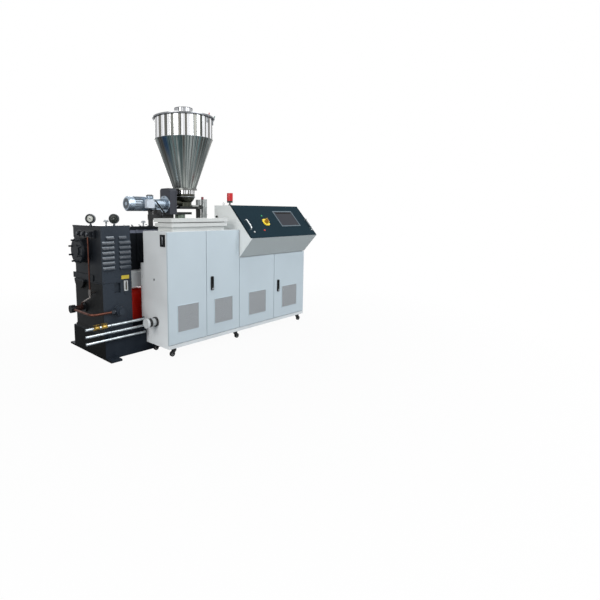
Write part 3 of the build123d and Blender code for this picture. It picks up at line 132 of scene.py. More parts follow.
# %% Wires
class Wire:
    """One output socket of a finish. Arithmetic on it adds Math nodes."""

    def __init__(self, finish, socket):
        self.finish = finish
        self.socket = socket

    def __add__(self, other):
        return self.finish.math("ADD", self, other)

    def __sub__(self, other):
        return self.finish.math("SUBTRACT", self, other)

    def __mul__(self, other):
        return self.finish.math("MULTIPLY", self, other)

    def __rsub__(self, other):
        return self.finish.math("SUBTRACT", other, self)

    def __lt__(self, other):
        return self.finish.math("LESS_THAN", self, other)

    def __gt__(self, other):
        return self.finish.math("GREATER_THAN", self, other)


# %% Finishes
class Finish:
    """A material that is built node by node round one Principled shader."""

    def __init__(self, name):
        self.material = bpy.data.materials.new(name)
        self.material.use_nodes = True
        self.tree = self.material.node_tree
        self.shader = self.tree.nodes["Principled BSDF"]

    def node(self, kind, settings=None, inputs=None, out=0):
        """A node of that type: its settings first, then the values or wires of its sockets."""
        made = self.tree.nodes.new(kind)
        for key, value in (settings or {}).items():
            if key == "stops":
                ramp = made.color_ramp
                while len(ramp.elements) < len(value):
                    ramp.elements.new(0.5)
                for element, (place, colour) in zip(ramp.elements, value):
                    element.position = place
                    element.color = (*shade(*colour), 1)
            else:
                setattr(made, key, value)
        for key, value in (inputs or {}).items():
            self.plug(value, made.inputs[key])
        return Wire(self, made.outputs[out])

    def plug(self, value, socket):
        """Links a wire to a socket, or sets the socket to a value."""
        if isinstance(value, Wire):
            self.tree.links.new(value.socket, socket)
        elif socket.type == "RGBA" and len(value) == 3:
            socket.default_value = (*value, 1)
        else:
            socket.default_value = value

    def math(self, operation, first, second=0.0):
        """One Math node."""
        return self.node("ShaderNodeMath", {"operation": operation}, {0: first, 1: second})

    def set(self, **sockets):
        """Sets the shader's sockets by name, such as Base_Color."""
        for key, value in sockets.items():
            self.plug(value, self.shader.inputs[key.replace("_", " ")])

    def place(self):
        """The point on the object, in metres, and its x, y and z."""
        point = self.node("ShaderNodeTexCoord", out=3)
        split = self.node("ShaderNodeSeparateXYZ", inputs={0: point})
        return point, *(Wire(self, output) for output in split.socket.node.outputs)

    def noise(self, point, scale, detail=3.0, rough=0.55, stretch=None):
        """Soft noise between about 0.3 and 0.7, stretched along an axis where stretch is given."""
        if stretch:
            point = self.node("ShaderNodeMapping", inputs={"Vector": point, "Scale": stretch})
        sockets = {"Vector": point, "Scale": scale, "Detail": detail, "Roughness": rough}
        return self.node("ShaderNodeTexNoise", inputs=sockets)

    def mix(self, amount, first, second):
        """A colour between first and second."""
        sockets = {0: amount, 6: first, 7: second}
        return self.node("ShaderNodeMix", {"data_type": "RGBA"}, sockets, out=2)

    def ramp(self, amount, stops):
        """A colour ramp through these stops, each a place from 0 to 1 and a screen colour."""
        return self.node("ShaderNodeValToRGB", {"stops": stops}, {0: amount})

    def spread(self, amount, low, high, to_low=0.0, to_high=1.0):
        """Maps low..high to to_low..to_high and holds it there."""
        sockets = {0: amount, 1: low, 2: high, 3: to_low, 4: to_high}
        return self.node("ShaderNodeMapRange", inputs=sockets)

    def bump(self, height, depth, strength=1.0):
        """A normal from a height between 0 and 1, depth metres deep."""
        sockets = {"Height": height, "Distance": depth, "Strength": strength}
        return self.node("ShaderNodeBump", inputs=sockets)


# %% Colours and masks
def shade(red, green, blue):
    """A screen colour, 0 to 255 each, as the linear numbers that a shader reads."""
    screen = [value / 255 for value in (red, green, blue)]
    return tuple(v / 12.92 if v <= 10 / 255 else ((v + 0.055) / 1.055) ** 2.4 for v in screen)


def within(wire, low, high):
    """1 where the wire is between low and high, otherwise 0."""
    return (wire > low) * (wire < high)


far = 9.0


def zone(x=None, y=None, z=None):
    """A function that masks the points within these ranges of x, y and z. An open end is far."""
    def mask(*point):
        inside = 1.0
        for wire, ends in zip(point, (x, y, z)):
            if ends:
                inside = within(wire, *ends) * inside
        return inside
    return mask


print("finish tools ready; mid grey is", [round(v, 3) for v in shade(128, 128, 128)])

# %% [markdown]
# ## White floor and white backdrop
# The camera sees most of the floor's colour as plain white, so that only a soft trace of the machine's
# shadow stays. Mirrors and glass see the same white. The light that falls on the machine comes from a
# dimmer world.

# %% Finish the floor and the backdrop
floor_finish = Finish("floor_white")
seen = floor_finish.node("ShaderNodeLightPath")
glow = floor_finish.node("ShaderNodeEmission", inputs={"Color": (1, 1, 1), "Strength": 1.0})
surface = Wire(floor_finish, floor_finish.shader.outputs[0])
floor_point = floor_finish.place()[0]
away = floor_finish.node("ShaderNodeVectorMath", {"operation": "LENGTH"}, {0: floor_point}, out=1)
whiteness = seen * floor_finish.spread(away, 1.8, 4.5, 0.96, 1.0)
floor_mix = floor_finish.node("ShaderNodeMixShader", inputs={0: whiteness, 1: surface, 2: glow})
floor_finish.set(Base_Color=(0.32, 0.33, 0.34), Roughness=0.6)
output = floor_finish.tree.nodes["Material Output"]
floor_finish.tree.links.new(floor_mix.socket, output.inputs["Surface"])
floor.data.materials.append(floor_finish.material)

world = bpy.data.worlds.new("studio_world")
scene.world = world
world.use_nodes = True
tree = world.node_tree
room_light = tree.nodes["Background"]
room_light.inputs["Color"].default_value = (0.94, 0.97, 1.0, 1)
room_light.inputs["Strength"].default_value = 0.40
white = tree.nodes.new("ShaderNodeBackground")
white.inputs["Color"].default_value = (1, 1, 1, 1)
path = tree.nodes.new("ShaderNodeLightPath")
sees_white = path.outputs["Is Camera Ray"]
for kind in ("Is Transmission Ray", "Is Glossy Ray"):
    either = tree.nodes.new("ShaderNodeMath")
    either.operation = "MAXIMUM"
    tree.links.new(sees_white, either.inputs[0])
    tree.links.new(path.outputs[kind], either.inputs[1])
    sees_white = either.outputs[0]
world_mix = tree.nodes.new("ShaderNodeMixShader")
for number, source in enumerate((sees_white, room_light.outputs[0], white.outputs[0])):
    tree.links.new(source, world_mix.inputs[number])
tree.links.new(world_mix.outputs[0], tree.nodes["World Output"].inputs[0])
scene.view_settings.view_transform = "Standard"
print("floor and backdrop are white")

# %% [markdown]
# ## Painted steel
# Most of the machine is sprayed steel. Spray paint isn't flat: it has a fine orange-peel surface, its
# colour drifts a little over a large panel, and dust settles low down and dulls the gloss. Where one
# solid carries two colours, a patch says where the second lies, in metres on the object. Some patches
# paint light or shade instead, and say so where they are made. Colours are written as screen values
# from 0 to 255.

# %% Paint
def paint(
    name, colour, gloss=0.38, shine=0.5, peel=0.00012, dust=0.10, drift=0.04, metal=0.0, patches=()
):
    """Sprayed paint with drifting colour, fine peel and dust low down. Little shine makes it matt. A
    patch is a function that gives its mask, then its colour, roughness and metalness."""
    colour = shade(*colour)
    finish = Finish(name)
    point, x, y, z = finish.place()
    clouds = finish.noise(point, 2.2, 4.0)
    low_down = finish.spread(z, 0.55, 0.05) * finish.spread(finish.noise(point, 9.0, 5.0), 0.35, 0.70)
    dark = tuple(v * (1 - drift * 2) for v in colour)
    light = tuple(min(v * (1 + drift), 1.0) for v in colour)
    tone = finish.mix(finish.spread(clouds, 0.30, 0.70), dark, light)
    dust_colour = tuple(0.6 * v + 0.4 * grey for v, grey in zip(colour, (0.24, 0.23, 0.21)))
    tone = finish.mix(low_down * dust, tone, dust_colour)
    rough = finish.spread(clouds + low_down * 0.4, 0.3, 1.1, gloss - 0.05, gloss + 0.2)
    metalness = metal
    for area, patch_colour, patch_rough, patch_metal in patches:
        mask = area(x, y, z)
        tone = finish.mix(mask, tone, shade(*patch_colour))
        rough = rough * (1 - mask) + mask * patch_rough
        if patch_metal != metal or isinstance(metalness, Wire):
            metalness = (1 - mask) * metalness + mask * patch_metal
    skin = finish.bump(finish.noise(point, 260.0, 2.0), peel)
    finish.set(Base_Color=tone, Roughness=rough, Metallic=metalness)
    finish.set(Specular_IOR_Level=shine, Normal=skin)
    return finish.material


door_colour = shade(198, 210, 217)
black = (14, 14, 16)
cabinet_left_face, console_left_face = -0.8235, 0.1855


def low_on_the_left(x, y, z):
    """The cabinet's left side, more and more towards the floor, where it is painted lighter: painted
    light against the shade near the floor.
    """
    return (x < cabinet_left_face) * z.finish.spread(z, 0.60, 0.15)


def console_chin(x, y, z):
    """The console's sloping underside, picked by the distance along its normal; it is painted darker as
    painted shade.
    """
    return (x > console_left_face) * (y * 0.746 + z * 0.666 < 0.0718)


# Painted light: the cabinet's left side is lightened towards the floor, where shade falls.
low_left_painted_light = [(low_on_the_left, (248, 252, 254), 0.4, 0.0)]
cabinet_paint = paint("cabinet_paint", (222, 226, 228), patches=low_left_painted_light)
console_light_and_shade = [
    # Painted light on the console's left side, and painted shade on its underside.
    (zone(x=(-far, console_left_face)), (240, 243, 242), 0.4, 0.0),
    (console_chin, (192, 199, 199), 0.4, 0.0),
]
console_paint = paint("console_paint", (216, 219, 218), patches=console_light_and_shade)
roof_paint = paint("roof_paint", (212, 214, 212))
desk_paint = paint("desk_paint", (32, 48, 56), gloss=0.50, shine=0.01)
# A paler band just under the distribution box's lid: a painted highlight.
box_lit_band = [(zone(z=(1.257, 1.2925)), (126, 130, 146), 0.35, 0.0)]
box_paint = paint("box_paint", (26, 29, 34), gloss=0.30, shine=0.25, peel=0.0002, patches=box_lit_band)
red_paint = paint("red_paint", (206, 28, 12), gloss=0.4, shine=0.3)
cooler_paint = paint("cooler_paint", (232, 235, 235))
chain_paint = paint("chain_paint", (58, 60, 68), gloss=0.42, shine=0.25, peel=0.0002)
wheel_rubber = paint("wheel_rubber", (20, 20, 22), gloss=0.6, shine=0.25, dust=0.1)
breather_cap = paint("breather_cap", (168, 173, 178), gloss=0.3, metal=0.3)
fork_paint = paint("fork_paint", (26, 27, 30), gloss=0.35, shine=0.4)
print("plain paints ready")

# %% Casting paint
louvre_pitch, lowest_lip = 0.050, 0.440
louvre_depth, louvre_heights = (-0.3552, -0.3384), (0.910, 1.2405)
casting_left_face, base_left_face = -1.2935, -1.2985


def painted_louvre_highlight(left, right):
    """A mask for a painted highlight that grows towards the upper lip of each louvre between these x
    values.
    """
    def mask(x, y, z):
        below_lip = z.finish.math("FRACT", (z - lowest_lip) * (1 / louvre_pitch))
        slope = within(x, left, right) * within(y, *louvre_depth) * within(z, *louvre_heights)
        return slope * z.finish.spread(below_lip, 0.70, 0.97)
    return mask


casting_shade_and_highlights = [
    # The casting's left faces are painted darker, and darker still low down: painted shade on the side
    # turned from the light.
    (zone(x=(-far, casting_left_face)), (26, 30, 35), 0.42, 0.0),
    (zone(x=(-far, casting_left_face), z=(-far, 0.765)), (11, 13, 14), 0.5, 0.0),
    # Painted highlights on the louvres' upper slopes, brighter on the left column than on the right.
    (painted_louvre_highlight(-1.290, -1.150), (150, 158, 166), 0.30, 0.0),
    (painted_louvre_highlight(-1.110, -0.970), (96, 104, 112), 0.34, 0.0),
]
# The base's left end is painted nearly black: painted shade on the side turned from the light.
base_left_shade = [(zone(x=(-far, base_left_face)), (10, 12, 13), 0.5, 0.0)]
gearbox_paint = paint(
    "gearbox_paint", (50, 57, 66), gloss=0.27, shine=0.2, peel=0.0003, dust=0.04, drift=0.08,
    patches=casting_shade_and_highlights,
)
base_paint = paint(
    "base_paint", (37, 44, 53), gloss=0.40, shine=0.07, peel=0.0003, dust=0.06, drift=0.09,
    patches=base_left_shade,
)
print("casting paints ready")

# %% [markdown]
# ## Finishes that change over one solid
# A motor and its terminal box, or a lamp and its foot, are one solid in the CAD model. A zone on the
# object, such as everything above z = 1.614, tells the finish where the other colour lies.

# %% Drive colours
drive_axis_height = 1.574


def fan_ring(x, y, z):
    """The ring on the end of the feeder motor's cowl, where its fan draws air. Its dark colour is painted
    shade in the air openings.
    """
    rise = z - drive_axis_height
    return (x < -0.8115) * within(y * y + rise * rise, 0.020 * 0.020, 0.058 * 0.058)


def shaded_motor_fins(x, y, z):
    """The feeder motor's cooling fins, without a strip of 10 mm on either side of the middle. They are
    painted darker as painted shade in the grooves between the fins.
    """
    return within(x, -0.742, -0.6265) * (y * y > 0.010 * 0.010) * (z > 1.48)


motor_areas = [
    (zone(z=(0.8, 1.4565)), black, 0.5, 0.0),
    (zone(x=(-0.522, -0.312), z=(1.45, 1.510)), black, 0.5, 0.0),
    # Painted shade in the fins' grooves, with less metalness.
    (shaded_motor_fins, (140, 150, 160), 0.3, 0.5),
    (zone(x=(-0.627, -0.525), y=(-far, -0.0825), z=(1.5, far)), (206, 214, 224), 0.35, 0.0),
    (zone(x=(-0.560, -0.440), z=(1.6605, far)), (88, 90, 92), 0.35, 0.2),
    # Painted shade in the cowl's air openings.
    (fan_ring, (84, 92, 100), 0.4, 0.3),
]
motor_silver = paint(
    "motor_silver", (160, 174, 188), gloss=0.24, peel=0.0002, drift=0.10, metal=0.75,
    patches=motor_areas,
)
plate_areas = [
    (zone(x=(0.088, 0.192), z=(1.5525, far)), (176, 178, 176), 0.3, 0.8),
    (zone(x=(0.150, far), z=(1.572, far)), (140, 143, 143), 0.35, 0.6),
]
feeder_plates = paint("feeder_plates", (28, 31, 30), gloss=0.40, shine=0.3, patches=plate_areas)
stub_finish = paint("stub_finish", (120, 134, 122), gloss=0.3, metal=0.5)
knob = [(zone(z=(1.6465, far)), (130, 16, 40), 0.35, 0.0)]
pot_finish = paint("pot_finish", (172, 176, 176), gloss=0.25, metal=0.6, drift=0.1, patches=knob)
print("drive colours ready")

# %% Small two-colour parts
coupler = [
    (zone(x=(-0.8455, far)), black, 0.45, 0.0),
    (zone(x=(-0.9245, -0.8895)), black, 0.45, 0.0),
    (zone(x=(-far, -0.9245)), (208, 212, 214), 0.3, 0.0),
]
coupler_finish = paint("coupler_finish", (196, 200, 201), gloss=0.32, dust=0.0, patches=coupler)
beacon_lens = [(zone(z=(1.6142, far)), (198, 18, 26), 0.12, 0.0)]
beacon_finish = paint("beacon_finish", black, gloss=0.35, patches=beacon_lens)
valve_caps = [(zone(x=(-far, -1.3545)), (74, 77, 82), 0.25, 0.8)]
manifold_finish = paint("manifold_finish", (32, 35, 40), gloss=0.3, shine=0.25, patches=valve_caps)
pump_middle = [(zone(x=(-1.413, -1.335)), (58, 38, 34), 0.4, 0.3)]
pump_finish = paint("pump_finish", (20, 22, 25), gloss=0.35, shine=0.25, patches=pump_middle)
print("two-colour parts ready")

# %% [markdown]
# ## Bare metals
# Rolled and drawn metals show the direction they were worked in. A noise that is stretched along the
# work gives fine lines in the roughness. Copper pipe is warm and slightly tarnished, brass is yellow,
# and zinc has spangle.

# %% Metals
def bare_metal(name, colour, gloss, stretch=(1, 1, 1), tarnish=0.15, spangle=0.0, patches=()):
    """Bare metal with drawn lines, tarnish and, for zinc, spangle. A patch is a mask and a colour."""
    colour = shade(*colour)
    finish = Finish(name)
    point, x, y, z = finish.place()
    lines = finish.noise(point, 90.0, 4.0, 0.7, stretch)
    clouds = finish.noise(point, 14.0, 4.0)
    stain = finish.spread(clouds, 0.35, 0.7)
    if spangle:
        cells = finish.node("ShaderNodeTexVoronoi", inputs={"Vector": point, "Scale": 130.0}, out=1)
        stain = stain + finish.node("ShaderNodeSeparateColor", inputs={0: cells}) * spangle
    dull = tuple(v * (1 - tarnish * 2.4) for v in colour)
    tone = finish.mix(stain, colour, dull)
    rough = finish.spread(lines + clouds * 0.5, 0.4, 1.1, gloss, gloss + 0.18)
    for area, patch_colour in patches:
        tone = finish.mix(area(x, y, z), tone, shade(*patch_colour))
    finish.set(Base_Color=tone, Metallic=1.0, Roughness=rough, Normal=finish.bump(lines, 0.00008))
    return finish.material


pipe_fitting = [
    (zone(z=(0.639, 0.7065)), (112, 108, 106)),
    (zone(z=(0.560, 0.639)), (176, 168, 164)),
]
copper = bare_metal("copper", (104, 68, 58), 0.34, tarnish=0.22, patches=pipe_fitting)
brass = bare_metal("brass", (186, 156, 84), 0.34, tarnish=0.25)
zinc = bare_metal("zinc", (206, 214, 218), 0.30, (0.06, 1, 1), spangle=0.25)
chrome = bare_metal("chrome", (226, 230, 232), 0.10, tarnish=0.05)
steel = bare_metal("steel", (150, 154, 158), 0.32)
dark_steel = bare_metal("dark_steel", (78, 82, 88), 0.36)
print("metals ready")

# %% [markdown]
# ## Polished stainless for the hopper
# A polished hopper mirrors a whole workshop as light and dark bands. Here those reflections are painted
# into the steel's colour. The painted bands follow the sheet: upright on the drum and drawn together on
# the cone. Waves and noise on the direction round the axis give exactly that, because the direction has
# no height in it. The drum's painted bands are crisp, and the cone's are darker and softer. The cone also
# carries a painted blue window reflection and paler painted reflections low down, and the collar is
# painted darker at its edges as painted shade.

# %% Hopper steel with painted reflections
bright, pale, dark = (246, 247, 250), (206, 208, 208), (76, 76, 74)
drum_reflection_stops = [
    (0.00, (120, 118, 112)), (0.20, (92, 92, 88)), (0.38, (56, 58, 56)),
    (0.45, (150, 152, 150)), (0.50, bright), (0.66, bright), (0.70, (110, 112, 110)),
    (0.76, bright), (0.90, bright), (0.95, pale), (1.00, dark),
]
cone_reflection_stops = [
    (0.00, (70, 68, 66)), (0.16, (122, 120, 114)), (0.25, (62, 66, 66)),
    (0.34, (170, 178, 174)), (0.42, (96, 112, 112)), (0.52, (58, 78, 80)),
    (0.62, (130, 152, 152)), (0.70, (68, 88, 88)), (0.80, (196, 202, 198)),
    (0.88, (112, 114, 112)), (1.00, (84, 80, 78)),
]
collar_reflection_stops = [
    (0.00, (76, 78, 80)), (0.16, (104, 106, 110)), (0.26, (198, 200, 204)),
    (0.40, bright), (0.62, (184, 186, 190)), (0.74, bright), (0.94, (132, 134, 138)),
]
shoulder_height, rim_height, collar_foot, collar_edge = 2.345, 2.6005, 2.6045, 2.705
neck_sleeve = (1.700, 1.744)
plain_bands = [
    (2.584, rim_height, (116, 116, 120)),
    (rim_height, collar_foot, (184, 186, 186)),
    (1.7495, 1.7665, (112, 114, 112)),
]


def hopper_painted_reflections(name, more_bands=()):
    """Banded stainless with painted reflections: crisp painted bands on the drum, the collar and the
    feeder's neck, softer ones elsewhere. Plain bands go round it between two heights."""
    finish = Finish(name)
    point, x, y, z = finish.place()
    flat = finish.node("ShaderNodeCombineXYZ", inputs={0: x, 1: y, 2: 0.0})
    around = finish.node("ShaderNodeVectorMath", {"operation": "NORMALIZE"}, {0: flat})
    angle = finish.math("ARCTAN2", y, x)
    ripple = finish.noise(point, 5.0, 3.0)
    sway = finish.noise(around, 2.5, 2.0)
    wide = finish.math("SINE", angle * 27.0 + sway * 12.0 + ripple * 0.08)
    narrow = finish.math("SINE", angle * 47.0 + sway * 22.0)
    wave = wide * 0.32 + narrow * 0.18 + 0.5
    # Painted reflections: crisp bands on the drum, softer and darker ones on the cone.
    drum = finish.ramp(wave, drum_reflection_stops)
    slow = finish.math("SINE", angle * 9.0 + sway * 12.0 + ripple * 0.5)
    soft = slow * 0.34 + narrow * 0.10 + finish.noise(around, 14.0, 3.0) * 0.5 + 0.25
    cone = finish.ramp(soft, cone_reflection_stops)
    sides = {0: around, 1: (-0.978, -0.208, 0)}
    towards_window = finish.node("ShaderNodeVectorMath", {"operation": "DOT_PRODUCT"}, sides, out=1)
    # A painted reflection of a window: a blue streak on the cone.
    window_reflection = finish.spread(towards_window, 0.990, 0.9985) * finish.spread(z, 1.90, 2.20)
    cone = finish.mix(window_reflection * 0.75, cone, shade(32, 76, 118))
    # Paler painted reflections low on the cone.
    low_cone_reflection = finish.mix(finish.spread(wave, 0.20, 0.80), shade(128, 132, 128), shade(196, 199, 195))
    cone = finish.mix(finish.spread(z, 2.25, 1.80, 0.0, 0.8), cone, low_cone_reflection)
    crisp = finish.math("MAXIMUM", z > shoulder_height, within(z, *neck_sleeve))
    tone = finish.mix(crisp, cone, drum)
    # The collar is painted darker where its surface turns away from the camera: painted shade at its
    # edges.
    painted_edge_shade = finish.node("ShaderNodeLayerWeight", inputs={"Blend": 0.5}, out=1)
    fine = finish.math("SINE", angle * 20.0 + sway * 7.0) * 0.5 + 0.5
    collar_bands = finish.ramp(fine, collar_reflection_stops)
    collar = finish.mix(finish.spread(painted_edge_shade, 0.55, 0.85), collar_bands, shade(52, 54, 58))
    collar = finish.mix(z > collar_edge, collar, shade(60, 62, 66))
    tone = finish.mix(z > collar_foot, tone, collar)
    for low, high, colour in (*plain_bands, *more_bands):
        tone = finish.mix(within(z, low, high), tone, shade(*colour))
    finish.set(Base_Color=tone, Metallic=0.8, Roughness=finish.spread(ripple, 0.3, 0.7, 0.17, 0.27))
    return finish.material


hopper_finish = hopper_painted_reflections("hopper_painted_reflections")
bowl_finish = hopper_painted_reflections("feeder_bowl_painted_reflections", [(1.5, 1.700, (66, 68, 60))])
print("hopper steel ready")

# %% [markdown]
# ## Door skins with vents and handles
# Each door is one solid with its vent frame and handle on it. The vent's panel is pierced by fine round
# holes. Two sine waves multiplied make their grid, and the same waves push the surface in, so it reads
# as holes from near and as an even grey from far. The handle is black plastic.

# %% Door finishes
hole_pitch = 0.006
vent_low, vent_high = 0.259, 0.531
door_front = -0.770
grip_half_width, grip_half_height = 0.018, 0.077


def door_finish(name, vent_middle, vent_width, handle=None):
    """Door paint with a pierced vent panel and, where handle gives (x, z), a black handle."""
    finish = Finish(name)
    point, x, y, z = finish.place()
    clouds = finish.noise(point, 2.2, 4.0)
    darker = tuple(v * 0.95 for v in door_colour)
    tone = finish.mix(finish.spread(clouds, 0.3, 0.7), darker, door_colour)
    half = vent_width / 2 - 0.007
    vent = within(x, vent_middle - half, vent_middle + half) * within(z, vent_low, vent_high)
    vent = vent * (y < door_front - 0.0005)
    wave = 2 * math.pi / hole_pitch
    holes = finish.spread(finish.math("SINE", x * wave) * finish.math("SINE", z * wave), 0.30, 0.55)
    # The holes' dark grey is painted shade inside the pierced vent.
    tone = finish.mix(vent, tone, finish.mix(holes, shade(176, 179, 182), shade(70, 72, 74)))
    if handle:
        grip_x, grip_z = handle
        grip = within(x, grip_x - grip_half_width, grip_x + grip_half_width) * (y < door_front - 0.0002)
        grip = grip * within(z, grip_z - grip_half_height, grip_z + grip_half_height)
        tone = finish.mix(grip, tone, shade(8, 9, 10))
    skin = finish.bump(finish.noise(point, 260.0, 2.0) * 0.06 - holes * vent, 0.0012, 0.8)
    gloss = finish.spread(clouds, 0.3, 0.7, 0.34, 0.44)
    finish.set(Base_Color=tone, Roughness=gloss, Specular_IOR_Level=0.3, Normal=skin)
    return finish.material


door_1_finish = door_finish("door_1_skin", -0.5745, 0.287)
door_2_finish = door_finish("door_2_skin", -0.071, 0.287, (-0.245, 0.714))
door_3_finish = door_finish("door_3_skin", 0.4925, 0.318)
door_4_finish = door_finish("door_4_skin", 1.119, 0.318, (0.882, 0.553))
print("door skins ready")

# %% [markdown]
# ## The desk's screen, switch and lamps
# The desk slopes, so its patterns are laid out on its own plane: across is x, and up the slope is a mix
# of y and z. The screen is a dark panel in a grey frame, the switch has a yellow plate and knob, and
# its lamps are green and red.

# %% Desk finishes
desk_left, desk_nose_y, desk_nose_z = 0.184, -0.969, 1.192
slope_y, slope_z = 0.67118, 0.74130


def desk_patch(left, right, low, high):
    """A mask for the desk between these distances across, from its left edge, and up the slope."""
    def mask(x, y, z):
        upward = (y - desk_nose_y) * slope_y + (z - desk_nose_z) * slope_z
        return within(x - desk_left, left, right) * within(upward, low, high)
    return mask


screen = [
    (desk_patch(0.6645, 1.0135, 0.1685, 0.3915), (48, 50, 56), 0.30, 0.0),
    (desk_patch(0.690, 0.990, 0.360, 0.382), (6, 6, 8), 0.30, 0.0),
]
screen_finish = paint("screen_finish", (100, 112, 120), gloss=0.35, shine=0.08, patches=screen)
fittings = [
    (desk_patch(0.340, 0.458, 0.165, 0.287), (240, 212, 64), 0.35, 0.0),
    (desk_patch(0.375, 0.415, 0.310, 0.350), (20, 140, 90), 0.25, 0.0),
    (desk_patch(0.265, 0.302, 0.088, 0.125), (196, 60, 52), 0.25, 0.0),
]
fitting_finish = paint("fitting_finish", (222, 226, 228), gloss=0.15, metal=0.8, patches=fittings)
# A brown patch on the switch knob is painted shade beside its handle.
knob_painted_shade = [(desk_patch(0.372, 0.426, 0.203, 0.249), (150, 108, 30), 0.35, 0.0)]
switch_yellow = paint("switch_yellow", (214, 186, 58), gloss=0.35, patches=knob_painted_shade)
lever_red = paint("lever_red", (170, 30, 40), gloss=0.3)
print("desk finishes ready")

# %% Give every CAD node its finish
dressed = set()


def dress(finish, *names):
    """Puts a finish in every material slot of these CAD nodes."""
    for name in names:
        slots = nodes[name].data.materials
        if not slots:
            slots.append(finish)
        for number in range(len(slots)):
            slots[number] = finish
        dressed.add(name)


for part in ("left_side", "divider", "right_side", "back", "floor", "tops"):
    dress(cabinet_paint, "cabinet_" + part)
dress(roof_paint, "barrel_cover", "roof_vent")
dress(console_paint, "console_body")
dress(door_1_finish, "door_1")
dress(door_2_finish, "door_2")
dress(door_3_finish, "door_3")
dress(door_4_finish, "door_4")
dress(desk_paint, "console_lid")
dress(screen_finish, "touch_screen")
dress(fitting_finish, "lid_fittings")
dress(switch_yellow, "switch_knob")
dress(gearbox_paint, "gearbox_lower", "gearbox_upper", "gearbox_guard", "end_cover")
dress(box_paint, "distribution_box")
dress(base_paint, "base_frame", "barrel_stand")
dress(manifold_finish, "oil_manifold")
dress(pump_finish, "oil_pump")
dress(red_paint, "coupling_guard")
dress(beacon_finish, "beacon")
dress(cooler_paint, "oil_cooler")
dress(coupler_finish, "side_coupler")
dress(pot_finish, "vacuum_pot")
dress(motor_silver, "main_motor", "feeder_motor")
dress(feeder_plates, "feeder_frame")
dress(chain_paint, "chain_guard")
dress(copper, "copper_pipes")
dress(brass, "valve_bodies", "valve_lever_1", "valve_lever_2")
dress(zinc, "water_pipes")
dress(stub_finish, "feed_stub")
dress(dark_steel, "gauges")
dress(breather_cap, "breathers")
dress(steel, "barrel")
dress(hopper_finish, "hopper_shell", "hopper_lid")
dress(bowl_finish, "feeder_housing")
for number in range(1, 7):
    dress(wheel_rubber, f"castor_{number}_wheel")
    dress(fork_paint, f"castor_{number}_fork")
print("CAD nodes finished:", len(dressed), "of", len(nodes))

# %% [markdown]
# ## Modelling by hand, in code
# Every small part starts as a primitive at its size and place and is then shaped in edit mode. These
# helpers keep that short: they add a block or a rod, and pick faces by their place or direction.

# %% Blocks and rods
up, left, right, front, back = (0, 0, 1), (-1, 0, 0), (1, 0, 0), (0, -1, 0), (0, 1, 0)


def choose(*pieces):
    """Object mode, with these pieces selected and the first of them active."""
    deselect_all()
    for piece in pieces:
        piece.select_set(True)
    bpy.context.view_layer.objects.active = pieces[0]


def new_piece(name):
    """Names the object that was just made, and moves its place, turn and scale into its mesh."""
    piece = bpy.context.object
    piece.name = name
    choose(piece)
    bpy.ops.object.transform_apply(location=True, rotation=True, scale=True)
    return piece


def block(name, low, high):
    """A cube stretched between two corners."""
    deselect_all()
    middle = [(a + b) / 2 for a, b in zip(low, high)]
    bpy.ops.mesh.primitive_cube_add(size=1, location=middle, scale=[b - a for a, b in zip(low, high)])
    return new_piece(name)


def rod(name, radius, start, end, sides=32, end_radius=None):
    """A cylinder from start to end, or a cone where end_radius is given."""
    deselect_all()
    start, end = Vector(start), Vector(end)
    line = end - start
    bpy.ops.mesh.primitive_cone_add(
        vertices=sides,
        radius1=radius,
        radius2=radius if end_radius is None else end_radius,
        depth=line.length,
        location=(start + end) / 2,
        rotation=line.to_track_quat("Z", "Y").to_euler(),
    )
    return new_piece(name)


# %% Picking, softening and joining
def pick(piece, test):
    """In edit mode, selects the faces whose middle and normal pass the test."""
    choose(piece)
    bpy.ops.object.mode_set(mode="EDIT")
    bpy.ops.mesh.select_mode(type="FACE")
    bpy.ops.mesh.select_all(action="DESELECT")
    mesh = bmesh.from_edit_mesh(piece.data)
    for face in mesh.faces:
        face.select_set(bool(test(face.calc_center_median(), face.normal)))
    bmesh.update_edit_mesh(piece.data)


def facing(direction):
    """A test for the faces that look in this direction."""
    return lambda middle, normal: normal.dot(Vector(direction)) > 0.9


top_face = facing(up)


def inset(piece, test, thickness, depth=0.0):
    """Insets the picked faces, and pushes them out or in by depth."""
    pick(piece, test)
    bpy.ops.mesh.inset(thickness=thickness, depth=depth)
    bpy.ops.object.mode_set(mode="OBJECT")
    return piece


def soften(piece, width):
    """Rounds the piece's sharp edges with a bevel that is applied."""
    choose(piece)
    bevel = piece.modifiers.new("soft_edges", "BEVEL")
    bevel.width = width
    bevel.segments = 2
    bevel.limit_method = "ANGLE"
    bevel.angle_limit = math.radians(40)
    bpy.ops.object.modifier_apply(modifier=bevel.name)
    return piece


def join(name, *pieces):
    """Several pieces as one object."""
    choose(*pieces)
    if len(pieces) > 1:
        bpy.ops.object.join()
    pieces[0].name = name
    return pieces[0]


# %% Copying and finishing
def aimed(place, normal):
    """A placement whose z axis is the normal and whose y axis is as near to upright as it can be."""
    z = Vector(normal).normalized()
    x = Vector(up).cross(z)
    x = x.normalized() if x.length > 0.001 else Vector((1, 0, 0))
    turn = Matrix((x, z.cross(x), z)).transposed().to_4x4()
    return Matrix.Translation(Vector(place)) @ turn


def copies(pattern, name, placements):
    """A copy of the pattern, with its own mesh, at each placement, joined into one row."""
    row = []
    for placement in placements:
        twin = pattern.copy()
        twin.data = pattern.data.copy()
        scene.collection.objects.link(twin)
        twin.data.transform(placement)
        row.append(twin)
    bpy.data.objects.remove(pattern)
    return join(name, *row)


added = []
smooth_angle = math.radians(35)


